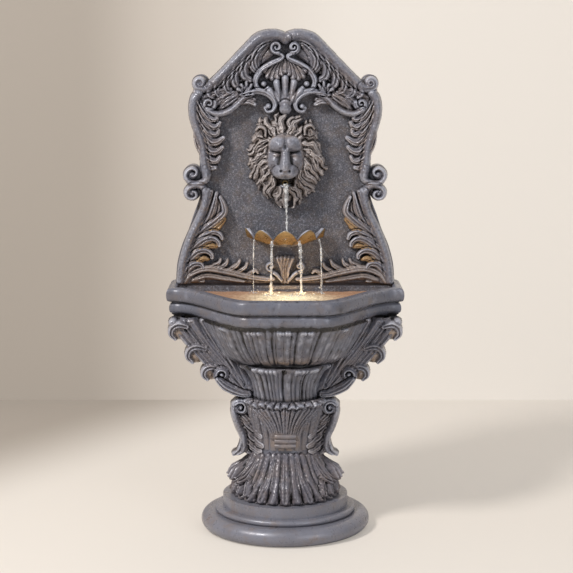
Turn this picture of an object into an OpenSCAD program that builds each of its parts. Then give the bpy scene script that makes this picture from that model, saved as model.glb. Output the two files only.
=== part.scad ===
// Floor fountain with a lion mask, a shell bowl, a fluted basin and a leaf pedestal.
// Millimetres. +Z is up, the front faces -Y, and the origin is on the floor in the middle.

/* [Plinth] */
// Radius of the rounded foot that stands on the floor
foot_r = 216; // [208:1:222]
// Height of the rounded foot
foot_h = 44; // [36:1:52]
// Radius of the step above the foot
step_r = 180; // [174:1:188]
// Height of that step
step_h = 15; // [10:1:22]
// Radius of the ring that the leaves stand on
ring_r = 160; // [156:1:168]
// Height of that ring
ring_h = 28; // [22:1:36]
// Wall of the hollow plinth
plinth_wall = 16; // [12:1:22]
// Radius of the hole for the mains cord, at the back
cord_hole_r = 8; // [6:0.5:10]

/* [Pedestal] */
// Height of the stem between the plinth and the basin
stem_h = 253; // [235:1:270]
// Radius of the stem's foot
stem_foot_r = 106; // [98:1:112]
// Radius of the stem at the waist
waist_r = 78; // [74:1:84]
// Height of the waist above the plinth
waist_rise = 128; // [118:1:138]
// Radius of the stem where the basin stands on it
stem_top_r = 84; // [80:1:88]
// Radius of the bore inside the stem
stem_bore_r = 46; // [40:1:52]
// Height of the locating collar on top of the stem
collar_h = 12; // [8:1:18]
// Wall of that collar
collar_wall = 8; // [6:1:10]
// Number of leaves in the skirt
skirt_count = 12; // [10:1:14]
// Number of leaves in the bell
bell_count = 10; // [8:1:12]
// Thickness of a pedestal leaf
leaf_thick = 16; // [12:1:20]
// Radius of one bar of the clasp at the waist
clasp_bar_r = 6; // [5:0.5:7]

/* [Basin] */
// Half of the width over the rim
rim_half_w = 304; // [290:1:320]
// Depth of the rim from front to back
rim_depth = 410; // [400:1:416]
// Height of the upper band of the rim
upper_band_h = 36; // [32:1:42]
// Height of the lower band of the rim
lower_band_h = 30; // [26:1:36]
// How far the lower band stands back from the upper one
lower_band_in = 7; // [4:1:10]
// Thickness of the rim, from outside to the pool
rim_wall = 26; // [24:1:32]
// Half of the straight length of the bowed front
bow_flat = 95; // [85:1:105]
// Width over which the front sweeps back to the side
bow_run = 195; // [185:1:200]
// How far the front sweeps back
bow_depth = 225; // [215:1:235]
// Height of the fluted bowl under the rim
bowl_h = 118; // [106:1:130]
// Half of the width at the foot of the fluted bowl
bowl_foot_r = 150; // [142:1:158]
// Depth of the flutes in the bowl
flute_deep = 6; // [3:0.5:8]
// Number of flutes round the bowl
flute_count = 26; // [20:1:32]
// Height of the fluted cup below the bowl
cup_h = 90; // [80:1:100]
// Radius of the cup's lip
cup_lip_r = 125; // [120:1:130]
// Thickness of the basin's floor
floor_thick = 16; // [14:1:20]
// Wall of the bowl round the pool
bowl_wall = 20; // [16:1:24]
// Radius of the drain hole
drain_r = 16; // [12:1:20]

/* [Back panel] */
// Height of the panel above the rim
panel_h = 656; // [630:1:690]
// Half of the width of the panel where it meets the rim
panel_half_w = 285; // [281:1:289]
// Depth of the panel without its carving
panel_depth = 75; // [66:1:80]
// Wall of the hollow panel
panel_wall = 12; // [10:1:15]
// Gap from the panel's back to the back of the rim
panel_set_back = 5; // [3:1:8]
// Relief of the frame that runs round the panel
frame_relief = 36; // [30:1:42]
// Width of the frame's outer moulding
frame_w = 34; // [28:1:40]
// Relief of the carved leaves
carve_relief = 26; // [20:1:32]
// Thickness of the rear cover
cover_thick = 4; // [3:0.5:6]

/* [Lion mask] */
// Height of the mask's middle above the rim
mask_rise = 316; // [306:1:326]
// Half of the width of the face
face_half_w = 53; // [48:1:57]
// Half of the height of the face
face_half_h = 78; // [72:1:84]
// How far the nose stands out from the panel
nose_reach = 112; // [100:1:118]
// Half of the width of the mane
mane_half_w = 98; // [92:1:104]
// Half of the height of the mane
mane_half_h = 116; // [110:1:124]
// How far the mane stands out from the panel
mane_relief = 46; // [40:1:54]
// Height of the mouth below the mask's middle
mouth_drop = 50; // [46:1:54]
// Bore of the spout in the mouth
spout_bore_r = 5; // [4:0.5:6]
// Wall of the spout
spout_wall = 2; // [1.5:0.5:2.5]

/* [Shell bowl] */
// Height of the shell's rim above the basin's rim
shell_rise = 142; // [134:1:150]
// Half of the width of the shell
shell_half_w = 108; // [100:1:116]
// How far the shell stands out from the panel
shell_reach = 104; // [94:1:110]
// Depth of the shell from its rim to its underside
shell_deep = 46; // [40:1:52]
// Wall of the shell
shell_wall = 8; // [6:1:10]
// Height of the scallops along the shell's rim
scallop_h = 15; // [10:1:18]

/* [Pump] */
// Length of the pump
pump_len = 60; // [54:1:66]
// Depth of the pump
pump_deep = 42; // [38:1:44]
// Height of the pump
pump_tall = 46; // [42:1:52]
// Radius of the pump chamber
chamber_r = 15; // [13:0.5:16]
// Depth of the pump chamber
chamber_deep = 13; // [11:0.5:16]
// Number of blades on the impeller
blade_count = 6; // [5:1:8]
// Radius of the impeller's shaft
shaft_r = 1.5; // [1.5:0.25:2]
// Height of the suction feet
sucker_h = 8; // [6:1:10]
// Outer radius of the water tube
tube_r = 7; // [6.5:0.5:7.5]
// Thickness of the pump screen
screen_thick = 6; // [4:0.5:7]
// Travel of the flow gate
gate_travel = 8; // [6:0.5:9]

/* [Lamp] */
// Radius of the lamp head
lamp_r = 18; // [16:0.5:20]
// Length of the lamp head
lamp_len = 24; // [22:1:28]
// Radius of the pins that the lamp head turns on
lamp_pin_r = 3; // [2.5:0.25:3.5]
// Depth of the lamp's pins below the rim
lamp_drop = 84; // [78:1:88]

/* [Fits] */
// Gap between pieces that are set face to face
fit = 0.3; // [0.3:0.05:0.5]
// Gap round a shaft or a pin
run_fit = 0.2; // [0.1:0.05:0.3]
// Radius of the screws' shanks
screw_r = 3; // [2.5:0.25:3.5]

/* [Hidden] */

plinth_h = foot_h + step_h + ring_h;
cup_z = plinth_h + stem_h;
bowl_z = cup_z + cup_h;
rim_z = bowl_z + bowl_h;
groove_z = rim_z + lower_band_h;
rim_top = groove_z + upper_band_h;
rear_y = rim_depth / 2;
floor_z = bowl_z + floor_thick + 10;
collar_r = stem_bore_r + collar_wall;

panel_back_y = rear_y - panel_set_back;
field_y = panel_back_y - panel_depth;
pocket_y = field_y + panel_wall;
// The panel's carving is drawn on a sheet of this half width and height.
sheet_half_w = 285;
sheet_h = 656;
panel_up = panel_h / sheet_h;

screen_y = field_y - 20;
pump_y = screen_y + screen_thick + 1 + pump_deep / 2;
pump_z = floor_z + sucker_h;
chamber_x = pump_len / 2;
chamber_z = pump_z + pump_tall / 2 - 2;
outlet_x = chamber_x - chamber_deep / 2;
outlet_r = 4.5;
outlet_wall = 2;
outlet_rise = 12;
outlet_z = pump_z + pump_tall + outlet_rise;
elbow_y = pocket_y + 24;
mouth_z = rim_top + (mask_rise - mouth_drop) * panel_up;
spout_r = spout_bore_r + spout_wall;
spout_tip_y = field_y - nose_reach + 34;
lamp_y = screen_y - lamp_r - 14;
lamp_z = rim_top - lamp_drop;
bracket_thick = 3;
screw_head_r = screw_r * 1.9;
screw_head_h = screw_r;

bronze = [0.27, 0.29, 0.33];
dark_bronze = [0.2, 0.21, 0.24];
light_bronze = [0.36, 0.38, 0.43];
tan_bronze = [0.36, 0.32, 0.29];
gold_bronze = [0.48, 0.38, 0.22];
steel = [0.72, 0.73, 0.75];
black_plastic = [0.1, 0.1, 0.11];
rubber = [0.15, 0.15, 0.15];
brass = [0.72, 0.58, 0.3];

// Small helpers

function mix(a, b, t) = a * (1 - t) + b * t;
function clamp(t) = min(1, max(0, t));
function smooth(t) = let (u = clamp(t)) u * u * (3 - 2 * u);
function hump(t) = exp(-t * t);

// A point at share t of a smooth curve through the points p.
function curve_at(p, t) =
    let (
        n = len(p) - 1, s = min(t * n, n - 0.0001), i = floor(s), u = s - i,
        a = p[max(0, i - 1)], b = p[i], c = p[i + 1], d = p[min(n, i + 2)]
    )
    0.5 * (2 * b + (c - a) * u + (2 * a - 5 * b + 4 * c - d) * u * u
        + (3 * b - a - 3 * c + d) * u * u * u);
function curve(p, n) = [for (k = [0 : n]) curve_at(p, k / n)];

// A spiral that starts at angle a0 on radius r and winds in by the given turns.
function spiral(c, r, a0, turns, n) =
    [for (k = [0 : n]) let (t = k / n) 
        c + r * (1 - 0.6 * t) * [cos(a0 + 360 * turns * t), sin(a0 + 360 * turns * t)]];

// Faces between the first spans of the rings, which have m points each.
function span_faces(rings, m, spans) =
    [for (k = [0 : spans - 1], i = [0 : m - 1])
        let (j = (i + 1) % m, a = k * m, b = ((k + 1) % rings) * m)
        each [[a + i, b + i, b + j], [a + i, b + j, a + j]]];
// A skin over the rings, with both ends closed.
module skin(rings) {
    n = len(rings);
    m = len(rings[0]);
    faces = concat(
        [[for (i = [0 : m - 1]) i]], span_faces(n, m, n - 1), [[for (i = [m - 1 : -1 : 0]) (n - 1) * m + i]]
    );
    polyhedron(points = [for (r = rings) each r], faces = faces, convexity = 10);
}
// A skin whose last ring joins its first, so that it has a hole through it.
module loop_skin(rings) {
    n = len(rings);
    m = len(rings[0]);
    polyhedron(points = [for (r = rings) each r], faces = span_faces(n, m, n), convexity = 10);
}

module both_sides() {
    children();
    mirror([1, 0, 0]) children();
}

// Puts a drawing on the panel's field: its x stays, its y runs up, and its z comes forward.
module on_field(rise = 0) translate([0, field_y, rim_top + rise]) rotate([90, 0, 0]) children();
// The same for a drawing in the sheet's own measures, which grows with the panel.
module on_drawing() on_field() scale([panel_half_w / sheet_half_w, panel_up, 1]) children();
function on_sheet(p) = [p[0] * panel_half_w / sheet_half_w, p[1] * panel_up];
function drawn(points) = [for (p = points) on_sheet(p)];

// The direction to the left of a flat path at its point k.
function unit(v) = v / norm(v);
function left_at(p, k) =
    let (u = unit(p[min(len(p) - 1, k + 1)] - p[max(0, k - 1)])) [-u[1], u[0]];
// A bevelled section of width w and height h across a path.
function section(p, left, w, h) = [for (s = [[0.5, 0], [0.28, h], [-0.28, h], [-0.5, 0]])
    [p[0] + s[0] * w * left[0], p[1] + s[0] * w * left[1], s[1]]];

// A band along a path, from width w0 to w1 and from height h0 to h1.
module band(path, w0, w1, h0, h1, grow = 0) {
    last = len(path) - 1;
    skin([for (k = [0 : last])
        let (t = k / last)
        section(path[k], left_at(path, k), mix(w0, w1, t) + 2 * grow, mix(h0, h1, t) + grow)]);
}
bud_sides = 7;
// A round button, as in the eye of a volute.
module bud(c, r, h) {
    translate(c) hull() {
        cylinder(h = h * 0.8, r = r, $fn = bud_sides);
        cylinder(h = h, r = r * 0.5, $fn = bud_sides);
    }
}
// A leaf lobe: narrow where it springs, wide in the middle, and rising to its blunt tip.
module lobe(points, w, h, steps = 3, grow = 0) {
    path = curve(points, steps);
    skin([for (k = [0 : steps])
        let (t = k / steps)
        section(path[k], left_at(path, k), w * (0.4 + 0.75 * sin(160 * t)) + 2 * grow,
            h * (0.55 + 0.45 * t) + grow)]);
}

module screw(len, head_h = screw_head_h) {
    cylinder(h = head_h, r = screw_head_r, $fn = 32);
    translate([0, 0, -len]) cylinder(h = len, r = screw_r, $fn = 32);
}
// The driver slot of a screw that lies along +Z.
module slotted_screw(len) {
    difference() {
        screw(len);
        translate([-screw_head_r, -0.5, screw_head_h - 1]) cube([2 * screw_head_r, 1, 2]);
    }
}

// Plinth

module base_plinth() {
    color(bronze)
    difference() {
        rotate_extrude($fn = 96) {
            difference() {
                union() {
                    square([foot_r - foot_h / 2, foot_h]);
                    translate([foot_r - foot_h / 2, foot_h / 2]) circle(r = foot_h / 2, $fn = 48);
                    translate([0, foot_h]) square([step_r - step_h / 2, step_h]);
                    translate([step_r - step_h / 2, foot_h + step_h / 2]) circle(r = step_h / 2, $fn = 32);
                    translate([0, foot_h + step_h]) square([ring_r, ring_h]);
                }
                translate([-1, -1])
                    square([foot_r - foot_h / 2 - plinth_wall + 1, foot_h - plinth_wall + 1]);
                translate([-1, -1]) square([ring_r - plinth_wall + 1, plinth_h - plinth_wall + 1]);
                translate([foot_r - foot_h / 2, -foot_h]) square([foot_h, foot_h]);
            }
        }
        translate([0, 0, plinth_h - plinth_wall - 1])
            cylinder(h = plinth_wall + 2, r = stem_bore_r, $fn = 64);
        translate([0, foot_r + 1, foot_h / 2 - 4]) rotate([90, 0, 0])
            cylinder(h = foot_h / 2 + plinth_wall + 8, r = cord_hole_r, $fn = 48);
        pedestal_bolt_places() translate([0, 0, -1])
            cylinder(h = plinth_wall + 2, r = screw_r + run_fit, $fn = 32);
    }
}

// Stem

bolt_ring_r = (stem_bore_r + stem_foot_r) / 2;
bolt_bite = 24;
module pedestal_bolt_places()
    for (a = [45 : 90 : 315]) rotate(a) translate([bolt_ring_r, 0, plinth_h - plinth_wall]) children();

// The stem's outline as [radius, height above the plinth].
stem_line = [
    [stem_foot_r, 0], [stem_foot_r - 6, 44], [waist_r + 5, waist_rise - 30], [waist_r, waist_rise],
    [waist_r + 2, waist_rise + 50], [stem_top_r, stem_h]
];
function stem_r(z) = lookup(z, [for (p = stem_line) [p[1], p[0]]]);
module stem_profile(grow = 0)
    polygon(concat([[0, 0]], [for (p = stem_line) [p[0] + grow, p[1]]], [[0, stem_h]]));
module stem_solid() translate([0, 0, plinth_h]) rotate_extrude($fn = 96) stem_profile();
// A plain copy of the stem with flat sides, which clears the round one by the fit.
trim_sides = 30;
module stem_trim()
    translate([0, 0, plinth_h - 1]) rotate_extrude($fn = trim_sides)
        polygon(concat(
            [[0, 0]],
            [for (p = stem_line) [(p[0] + fit) / cos(180 / trim_sides), p[1] + (p[1] > 0 ? 1 : 0)]],
            [[0, stem_h + 1]]
        ));

module pedestal_core() {
    color(dark_bronze)
    difference() {
        union() {
            stem_solid();
            translate([0, 0, cup_z]) cylinder(h = collar_h, r = collar_r, $fn = 64);
        }
        translate([0, 0, plinth_h - 1]) cylinder(h = stem_h + collar_h + 2, r = stem_bore_r, $fn = 64);
        pedestal_bolt_places()
            translate([0, 0, plinth_wall - 1]) cylinder(h = bolt_bite + 2, r = screw_r + run_fit, $fn = 32);
    }
}

module pedestal_bolts() {
    color(steel)
    pedestal_bolt_places() mirror([0, 0, 1]) {
        cylinder(h = screw_head_h, r = screw_head_r, $fn = 6);
        translate([0, 0, -plinth_wall - bolt_bite])
            cylinder(h = plinth_wall + bolt_bite, r = screw_r, $fn = 32);
    }
}

// One pedestal leaf along a line of [radius, height, width, thickness], with a rolled tip.
function leaf_ring(p, q, line_end) =
    let (
        u = unit([q[0] - p[0], q[1] - p[1]]),
        out = u[1] > 0 ? [u[1], -u[0]] : [-u[1], u[0]],
        at = line_end ? q : p
    )
    [for (s = [[-0.5, -0.5], [-0.5, 0.1], [-0.2, 0.5], [0.2, 0.5], [0.5, 0.1], [0.5, -0.5]])
        [at[0] + s[1] * at[3] * out[0], (u[1] > 0 ? 1 : -1) * s[0] * at[2], at[1] + s[1] * at[3] * out[1]]];
module stem_leaf(line) {
    last = len(line) - 1;
    tip = line[last];
    skin([for (k = [0 : last]) leaf_ring(line[max(0, k - 1)], line[k == 0 ? 1 : k], k > 0)]);
    hull() {
        for (side = [-1, 1])
            translate([tip[0], side * tip[2] * 0.22, tip[1]]) rotate([90, 0, 0])
                cylinder(h = tip[2] * 0.3, r = tip[3] * 0.55, center = true, $fn = 6);
    }
}
waist_z = plinth_h + waist_rise;
clasp_z = waist_z + 25;
skirt_h = waist_rise - 28;
// How much higher the leaves in front and at the back reach than those under the brackets.
front_rise = 24;
module skirt_leaves() {
    color(bronze)
    difference() {
        for (i = [0 : skirt_count - 1]) {
            turn = i * 360 / skirt_count;
            top = skirt_h - 8 + (abs(cos(turn)) > 0.8 ? front_rise : 0);
            rotate(-90 + turn) stem_leaf([
                [stem_r(top) + 6, plinth_h + top, 44, leaf_thick + 6],
                [stem_foot_r + 2, plinth_h + skirt_h * 0.45, 60, leaf_thick + 8],
                [stem_foot_r + 18, plinth_h + 26, 70, leaf_thick + 10],
                [stem_foot_r + 34, plinth_h + 12, 46, leaf_thick]
            ]);
            rotate(-90 + (i + 0.5) * 360 / skirt_count) stem_leaf([
                [stem_r(skirt_h * 0.6) + 14, plinth_h + skirt_h * 0.7, 20, leaf_thick],
                [stem_foot_r + 42, plinth_h + 20, 24, leaf_thick]
            ]);
        }
        stem_trim();
    }
}

module bell_leaves() {
    bell_z = clasp_z + clasp_pitch + clasp_bar_r + 3;
    bell_h = cup_z - bell_z;
    color(light_bronze)
    difference() {
        for (i = [0 : bell_count - 1])
            rotate(-90 + (i + 0.5) * 360 / bell_count) stem_leaf([
                [waist_r + 4, bell_z, 50, leaf_thick + 4],
                [waist_r + 8, bell_z + bell_h * 0.4, 56, leaf_thick + 6],
                [stem_top_r + 20, bell_z + bell_h * 0.84, 62, leaf_thick - 2]
            ]);
        stem_trim();
        scroll_mass(fit);
        mirror([1, 0, 0]) scroll_mass(fit);
    }
}

// The clasp at the front of the waist: three short bars on a plate that follows the stem.
clasp_half_angle = 17;
clasp_pitch = 12;
module waist_clasp() {
    plate_half_h = clasp_pitch + clasp_bar_r;
    overlap = 0.5;
    color(tan_bronze)
    rotate(-90 - clasp_half_angle) rotate_extrude(angle = 2 * clasp_half_angle, $fn = 96) difference() {
        union() {
            for (k = [-1 : 1])
                translate([waist_r + clasp_bar_r + 2, clasp_z + k * clasp_pitch])
                    circle(r = clasp_bar_r + overlap, $fn = 24);
            translate([waist_r - 2, clasp_z - plate_half_h]) square([clasp_bar_r + 3, 2 * plate_half_h]);
        }
        translate([0, plinth_h]) stem_profile(fit);
    }
}

// The brackets at the pedestal's sides: a volute at the top, a long stem and a leaf at the foot.
bracket_half_y = 32;
bracket_top_r = 24;
module scroll_mass(grow = 0) {
    x = waist_r + 34;
    top_z = cup_z - bracket_top_r - 2;
    full = 2 * bracket_half_y;
    translate([0, bracket_half_y + grow, 0]) rotate([90, 0, 0]) {
        band(spiral([x, top_z], bracket_top_r - 6, 10, 1, 9), 15, 11, full, full + 8, grow);
        bud([x, top_z], 9 + grow, full + 6 + grow);
        band(curve([
            [x + bracket_top_r - 7, top_z + 2], [x + 10, top_z - 40],
            [x - 8, waist_z + 20], [x - 4, waist_z - 20], [x + 18, plinth_h + skirt_h]
        ], 7), 22, 30, full, full - 8, grow);
        band([[x - 14, top_z - 14], [x - 20, waist_z + 40], [x - 20, waist_z - 6]],
            44, 44, full - 10, full - 6, grow);
        for (drop = [0, 34, 66])
            lobe([[x, waist_z + 66 - drop], [x - 20, waist_z + 52 - drop], [x - 34, waist_z + 40 - drop]],
                24, full + 10, 2, grow);
    }
}
module scroll_bracket(side) {
    color(bronze)
    intersection() {
        difference() {
            mirror([side < 0 ? 1 : 0, 0, 0]) scroll_mass();
            stem_trim();
        }
        translate([-rim_half_w, -100, plinth_h + skirt_h + fit])
            cube([2 * rim_half_w, 200, cup_z - plinth_h - skirt_h - 2 * fit]);
    }
}

// Basin

// The front edge of the rim at distance d inside its outline, as y over x.
function front_y(x, d) = -rear_y + d + bow_depth * smooth((abs(x) - bow_flat + 0.58 * d) / bow_run);

rim_steps = 44;
corner_r = 18;
// The rim's outline at distance d inside it, counterclockwise from the left end of the front.
function rim_ring(d) =
    let (w = rim_half_w - d, back = rear_y - d, r = max(4, corner_r - d), side = front_y(w, d))
    concat(
        [for (k = [0 : rim_steps]) let (x = w * (2 * k / rim_steps - 1)) [x, front_y(x, d)]],
        [for (k = [1 : 3]) [w, mix(side, back - r, k / 3)]],
        [for (k = [1 : 2]) let (a = 45 * k) [w - r + r * cos(a), back - r + r * sin(a)]],
        [for (k = [1 : 7]) [(w - r) * (1 - k / 4), back]],
        [[-w + r, back]],
        [for (k = [1 : 2]) let (a = 90 + 45 * k) [-w + r + r * cos(a), back - r + r * sin(a)]],
        [for (k = [1 : 2]) [-w, mix(back - r, side, k / 3)]]
    );
rim_points = len(rim_ring(0));
// The angle of each point, evened out slightly so that it always grows from point to point.
front_middle = rim_steps / 2;
rim_angles = [for (i = [0 : rim_points - 1])
    let (p = rim_ring(0)[i], a = atan2(p[1], p[0]), turn = i < front_middle && a > 0 ? 360 : 0)
    mix(a - turn, -90 + (i - front_middle) * 360 / rim_points, 0.16)];
// The foot of the fluted bowl: round in front and at the sides, and deeper towards the back.
bowl_foot_front = 104;
bowl_foot_back = rear_y - 30;
function foot_point(i, r) = let (a = rim_angles[i], s = sin(a))
    [(bowl_foot_r + r) * cos(a), ((s < 0 ? bowl_foot_front : bowl_foot_back) + r) * s];
function round_ring(r, z) = [for (a = rim_angles) [r * cos(a), r * sin(a), z]];
// A ring whose sides, not its corners, lie at r from the middle: a bore for a round piece.
function bore_ring(r, z) =
    [for (i = [0 : rim_points - 1])
        let (
            a = rim_angles[i],
            before = (a - rim_angles[(i + rim_points - 1) % rim_points] + 360) % 360,
            after = (rim_angles[(i + 1) % rim_points] - a + 360) % 360,
            q = r / cos(max(before, after) / 2)
        ) [q * cos(a), q * sin(a), z]];
function fluted_ring(r, z, deep) =
    [for (a = rim_angles) let (q = r - deep * abs(cos(a * flute_count / 2))) [q * cos(a), q * sin(a), z]];
function band_ring(d, z) = [for (p = rim_ring(d)) [p[0], p[1], z]];
// A ring of the bowl at share t of the way from its foot to its top, pushed out by grow.
function bowl_ring(t, z, grow, deep, top_in) =
    let (top = rim_ring(top_in - grow))
    [for (i = [0 : rim_points - 1])
        let (
            f = deep * abs(cos(rim_angles[i] * flute_count / 2)) * sin(180 * clamp(t)),
            p = mix(foot_point(i, grow - f), top[i] * (1 - f / 260), pow(t, 0.86))
        ) [p[0], p[1], z]];

bowl_lip = 16;
bowl_top_z = rim_z - 8;
bowl_base_z = bowl_z + 6;
function bowl_height(t) = mix(bowl_base_z, bowl_top_z, t);

// Everything below the lower band, pushed out by grow: the cup and the fluted bowl.
function underside_rings(grow, deep) = concat(
    [for (s = [[cup_lip_r - 37, 0], [cup_lip_r - 35, 0.25], [cup_lip_r - 27, 0.55], [cup_lip_r - 15, 0.8]])
        fluted_ring(s[0] + grow, cup_z - (s[1] == 0 ? grow : 0) + s[1] * cup_h, deep * 0.6)],
    [round_ring(cup_lip_r + grow, bowl_z - 4 + grow), round_ring(cup_lip_r - 6 + 3 * grow, bowl_z + 1)],
    [for (k = [0 : 5]) bowl_ring(k / 5, bowl_height(k / 5) - grow, grow, deep, bowl_lip)]
);
// The pool's inside from its floor to the rim, drawn in by a gap.
function pool_rings(gap) = concat(
    [for (t = [0, 0.2, 0.45, 0.72])
        bowl_ring(t, mix(floor_z, rim_z - 6, t), pool_in - bowl_wall - gap, 0, bowl_lip + 4)],
    [band_ring(rim_wall + 2 + gap, rim_z), band_ring(rim_wall + gap, rim_top - 4)]
);
pool_in = 8;

module basin_shell() {
    inside = pool_rings(0);
    last = len(inside) - 1;
    recess_z = bowl_z - 9;
    rings = concat(
        [bore_ring(drain_r, floor_z), bore_ring(drain_r, recess_z)],
        [bore_ring(collar_r + fit, recess_z), bore_ring(collar_r + fit, cup_z)],
        underside_rings(0, flute_deep),
        [band_ring(bowl_lip + 8, rim_z)],
        [for (s = [[6, 0], [1, 0.15], [0, 0.5], [1, 0.85], [5, 1]])
            band_ring(lower_band_in + s[0], rim_z + s[1] * (lower_band_h - 2))],
        [band_ring(lower_band_in + 6, groove_z)],
        [for (s = [[6, 0.04], [1.5, 0.2], [0, 0.5], [1.5, 0.78], [6, 0.95], [11, 1]])
            band_ring(s[0], groove_z + s[1] * upper_band_h)],
        [band_ring(rim_wall - 4, rim_top)],
        [for (k = [last : -1 : 0]) inside[k]]
    );
    color(bronze)
    difference() {
        loop_skin(rings);
        panel_screw_places() translate([0, 0, -screw_bite])
            cylinder(h = screw_bite + 1, r = screw_r + run_fit, $fn = 32);
    }
}

// The leaves at the basin's sides: lobes that roll outwards, over a volute.
side_volute_z = bowl_z - 40;
side_volute_x = cup_lip_r + 26;
side_leaf_front = -46;
side_leaf_deep = 96;
module side_leaf_mass() {
    path = [[rim_half_w - 22, rim_z - 18], [rim_half_w - 62, rim_z - 72], [side_volute_x + 42, bowl_z - 6],
        [side_volute_x + 2, side_volute_z - 22]];
    inner_x = stem_top_r + 12;
    translate([0, side_leaf_front + side_leaf_deep, 0]) rotate([90, 0, 0]) {
        linear_extrude(side_leaf_deep - 8)
            polygon(concat(path, [[inner_x, side_volute_z - 22], [inner_x, rim_z - 18]]));
        for (k = [0 : 4]) {
            p = curve_at(path, 0.04 + 0.22 * k);
            lobe([p + [-14, 12], p + [6, 2], p + [10, -12]], 38, side_leaf_deep, 2);
        }
        band(spiral([side_volute_x, side_volute_z], 19, 150, 1, 8),
            13, 9, side_leaf_deep, side_leaf_deep + 8);
        bud([side_volute_x, side_volute_z], 9, side_leaf_deep + 8);
        band(curve([[side_volute_x - 17, side_volute_z + 8], [side_volute_x - 16, side_volute_z - 20],
            [stem_top_r + 14, cup_z + 6]], 4), 14, 30, side_leaf_deep, side_leaf_deep - 16);
    }
}
module side_leaf(side) {
    color(tan_bronze)
    difference() {
        mirror([side < 0 ? 1 : 0, 0, 0]) side_leaf_mass();
        skin(concat(underside_rings(wall_gap, 0), [band_ring(-1, rim_z - fit), band_ring(-1, rim_z + 60)]));
        translate([0, 0, cup_z - 40]) cylinder(h = 40 + fit, r = 200, $fn = 32);
    }
}

// The gap that keeps a piece clear of the bowl's curved walls.
wall_gap = 0.9;
screen_gap = 3.2;
// The screen in front of the pump: a plate that stands on the pool's floor, between its walls.
slot_r = 2.5;
slot_h = 26;
// The screen's lower corners are cut away from here outwards, so that water passes.
notch_x = 88;
module pump_screen() {
    color(dark_bronze)
    difference() {
        intersection() {
            translate([-rim_half_w, screen_y, floor_z - 1])
                cube([2 * rim_half_w, screen_thick, rim_top - 4 - floor_z]);
            skin(concat(pool_rings(screen_gap), [round_ring(bowl_foot_r, rim_top + rim_wall)]));
        }
        both_sides() translate([notch_x, screen_y - 1, floor_z - 2]) cube([100, screen_thick + 2, 16]);
        for (k = [-3 : 3])
            translate([k * 16, screen_y + screen_thick + 1, floor_z + 14]) {
                for (rise = [0, slot_h]) translate([0, 0, rise]) rotate([90, 0, 0])
                    cylinder(h = screen_thick + 2, r = slot_r, $fn = 32);
                translate([-slot_r, -screen_thick - 2, 0]) cube([2 * slot_r, screen_thick + 2, slot_h]);
            }
        bracket_screw_places() translate([0, 0, 1 - bracket_thick - screen_thick])
            cylinder(h = bracket_thick + screen_thick, r = screw_r * 0.6 + run_fit, $fn = 32);
    }
}

// Back panel

// The right half of the panel's outline, up from the rim, without its round ear and curls.
half_outline = [
    [285, 0], [284, 29], [280, 60], [268, 102], [251, 141], [238, 179], [228, 205], [221, 228],
    [217, 262], [221, 300], [221, 331], [225, 358], [234, 389], [244, 417], [250, 448], [247, 478],
    [236, 498], [212, 508], [196, 527], [182, 540], [153, 569], [122, 600], [96, 627], [70, 646],
    [36, 656], [12, 652]
];
ear = [218, 518, 22];
curls = [[241, 283, 24], [241, 238, 22]];
panel_outline = concat(drawn(half_outline), drawn([[0, 644]]),
    [for (k = [len(half_outline) - 1 : -1 : 0]) let (p = on_sheet(half_outline[k])) [-p[0], p[1]]]);

// The polygon p with each side moved in by d; p runs counterclockwise.
function inset(p, d) = let (n = len(p))
    [for (i = [0 : n - 1])
        let (
            u = unit(p[i] - p[(i + n - 1) % n]), v = unit(p[(i + 1) % n] - p[i]),
            a = [-u[1], u[0]], b = [-v[1], v[0]]
        ) p[i] + d * (a + b) / (1 + a * b)];

module panel_shape() {
    polygon(panel_outline);
    both_sides() for (c = concat([ear], curls)) {
        p = on_sheet(c);
        translate([p[0], p[1]]) circle(r = c[2], $fn = 48);
    }
}

screw_bite = 28;
boss_r = 7;
cover_points = [[238, 36], [182, 300], [176, 470], [0, 600]];
module cover_places() {
    for (c = cover_points, m = c[0] == 0 ? [0] : [0, 1])
        mirror([m, 0, 0]) translate([on_sheet(c)[0], 0, rim_top + on_sheet(c)[1]]) children();
}
module panel_screw_places() both_sides() translate([200, rear_y - 17, rim_top]) children();
shell_screw_x = 28;
shell_screw_z = rim_top + shell_rise * panel_up - 22;
module shell_screw_places()
    both_sides() translate([shell_screw_x, pocket_y, shell_screw_z]) rotate([-90, 0, 0]) children();

module back_panel() {
    color(dark_bronze)
    difference() {
        on_field() translate([0, 0, -panel_depth]) linear_extrude(panel_depth) panel_shape();
        on_field() translate([0, 0, -panel_depth - 1]) linear_extrude(panel_depth - panel_wall + 1)
            difference() {
                polygon(inset(panel_outline, panel_wall));
                for (c = cover_points, m = c[0] == 0 ? [0] : [0, 1])
                    mirror([m, 0]) translate(on_sheet(c)) circle(r = boss_r, $fn = 32);
            }
        translate([0, panel_back_y - cover_thick, 0]) on_back() linear_extrude(cover_thick + 1)
            polygon(inset(panel_outline, panel_wall));
        cover_places() translate([0, panel_back_y + 1, 0]) rotate([90, 0, 0])
            cylinder(h = screw_bite, r = screw_r + run_fit, $fn = 32);
        panel_screw_places() translate([0, 0, -1])
            cylinder(h = panel_wall + 2, r = screw_r + run_fit, $fn = 32);
        shell_screw_places() translate([0, 0, -panel_wall - 1])
            cylinder(h = panel_wall + 2, r = screw_r + run_fit, $fn = 32);
        translate([0, pocket_y + 1, mouth_z]) rotate([90, 0, 0])
            cylinder(h = panel_wall + 2, r = spout_r + fit, $fn = 48);
        translate([0, elbow_y, rim_top - 1]) cylinder(h = panel_wall + 2, r = tube_r + 2, $fn = 48);
    }
}
// Puts a drawing on the XZ plane, extruded backwards.
module on_back() translate([0, 0, rim_top]) mirror([0, 1, 0]) rotate([90, 0, 0]) children();

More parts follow.
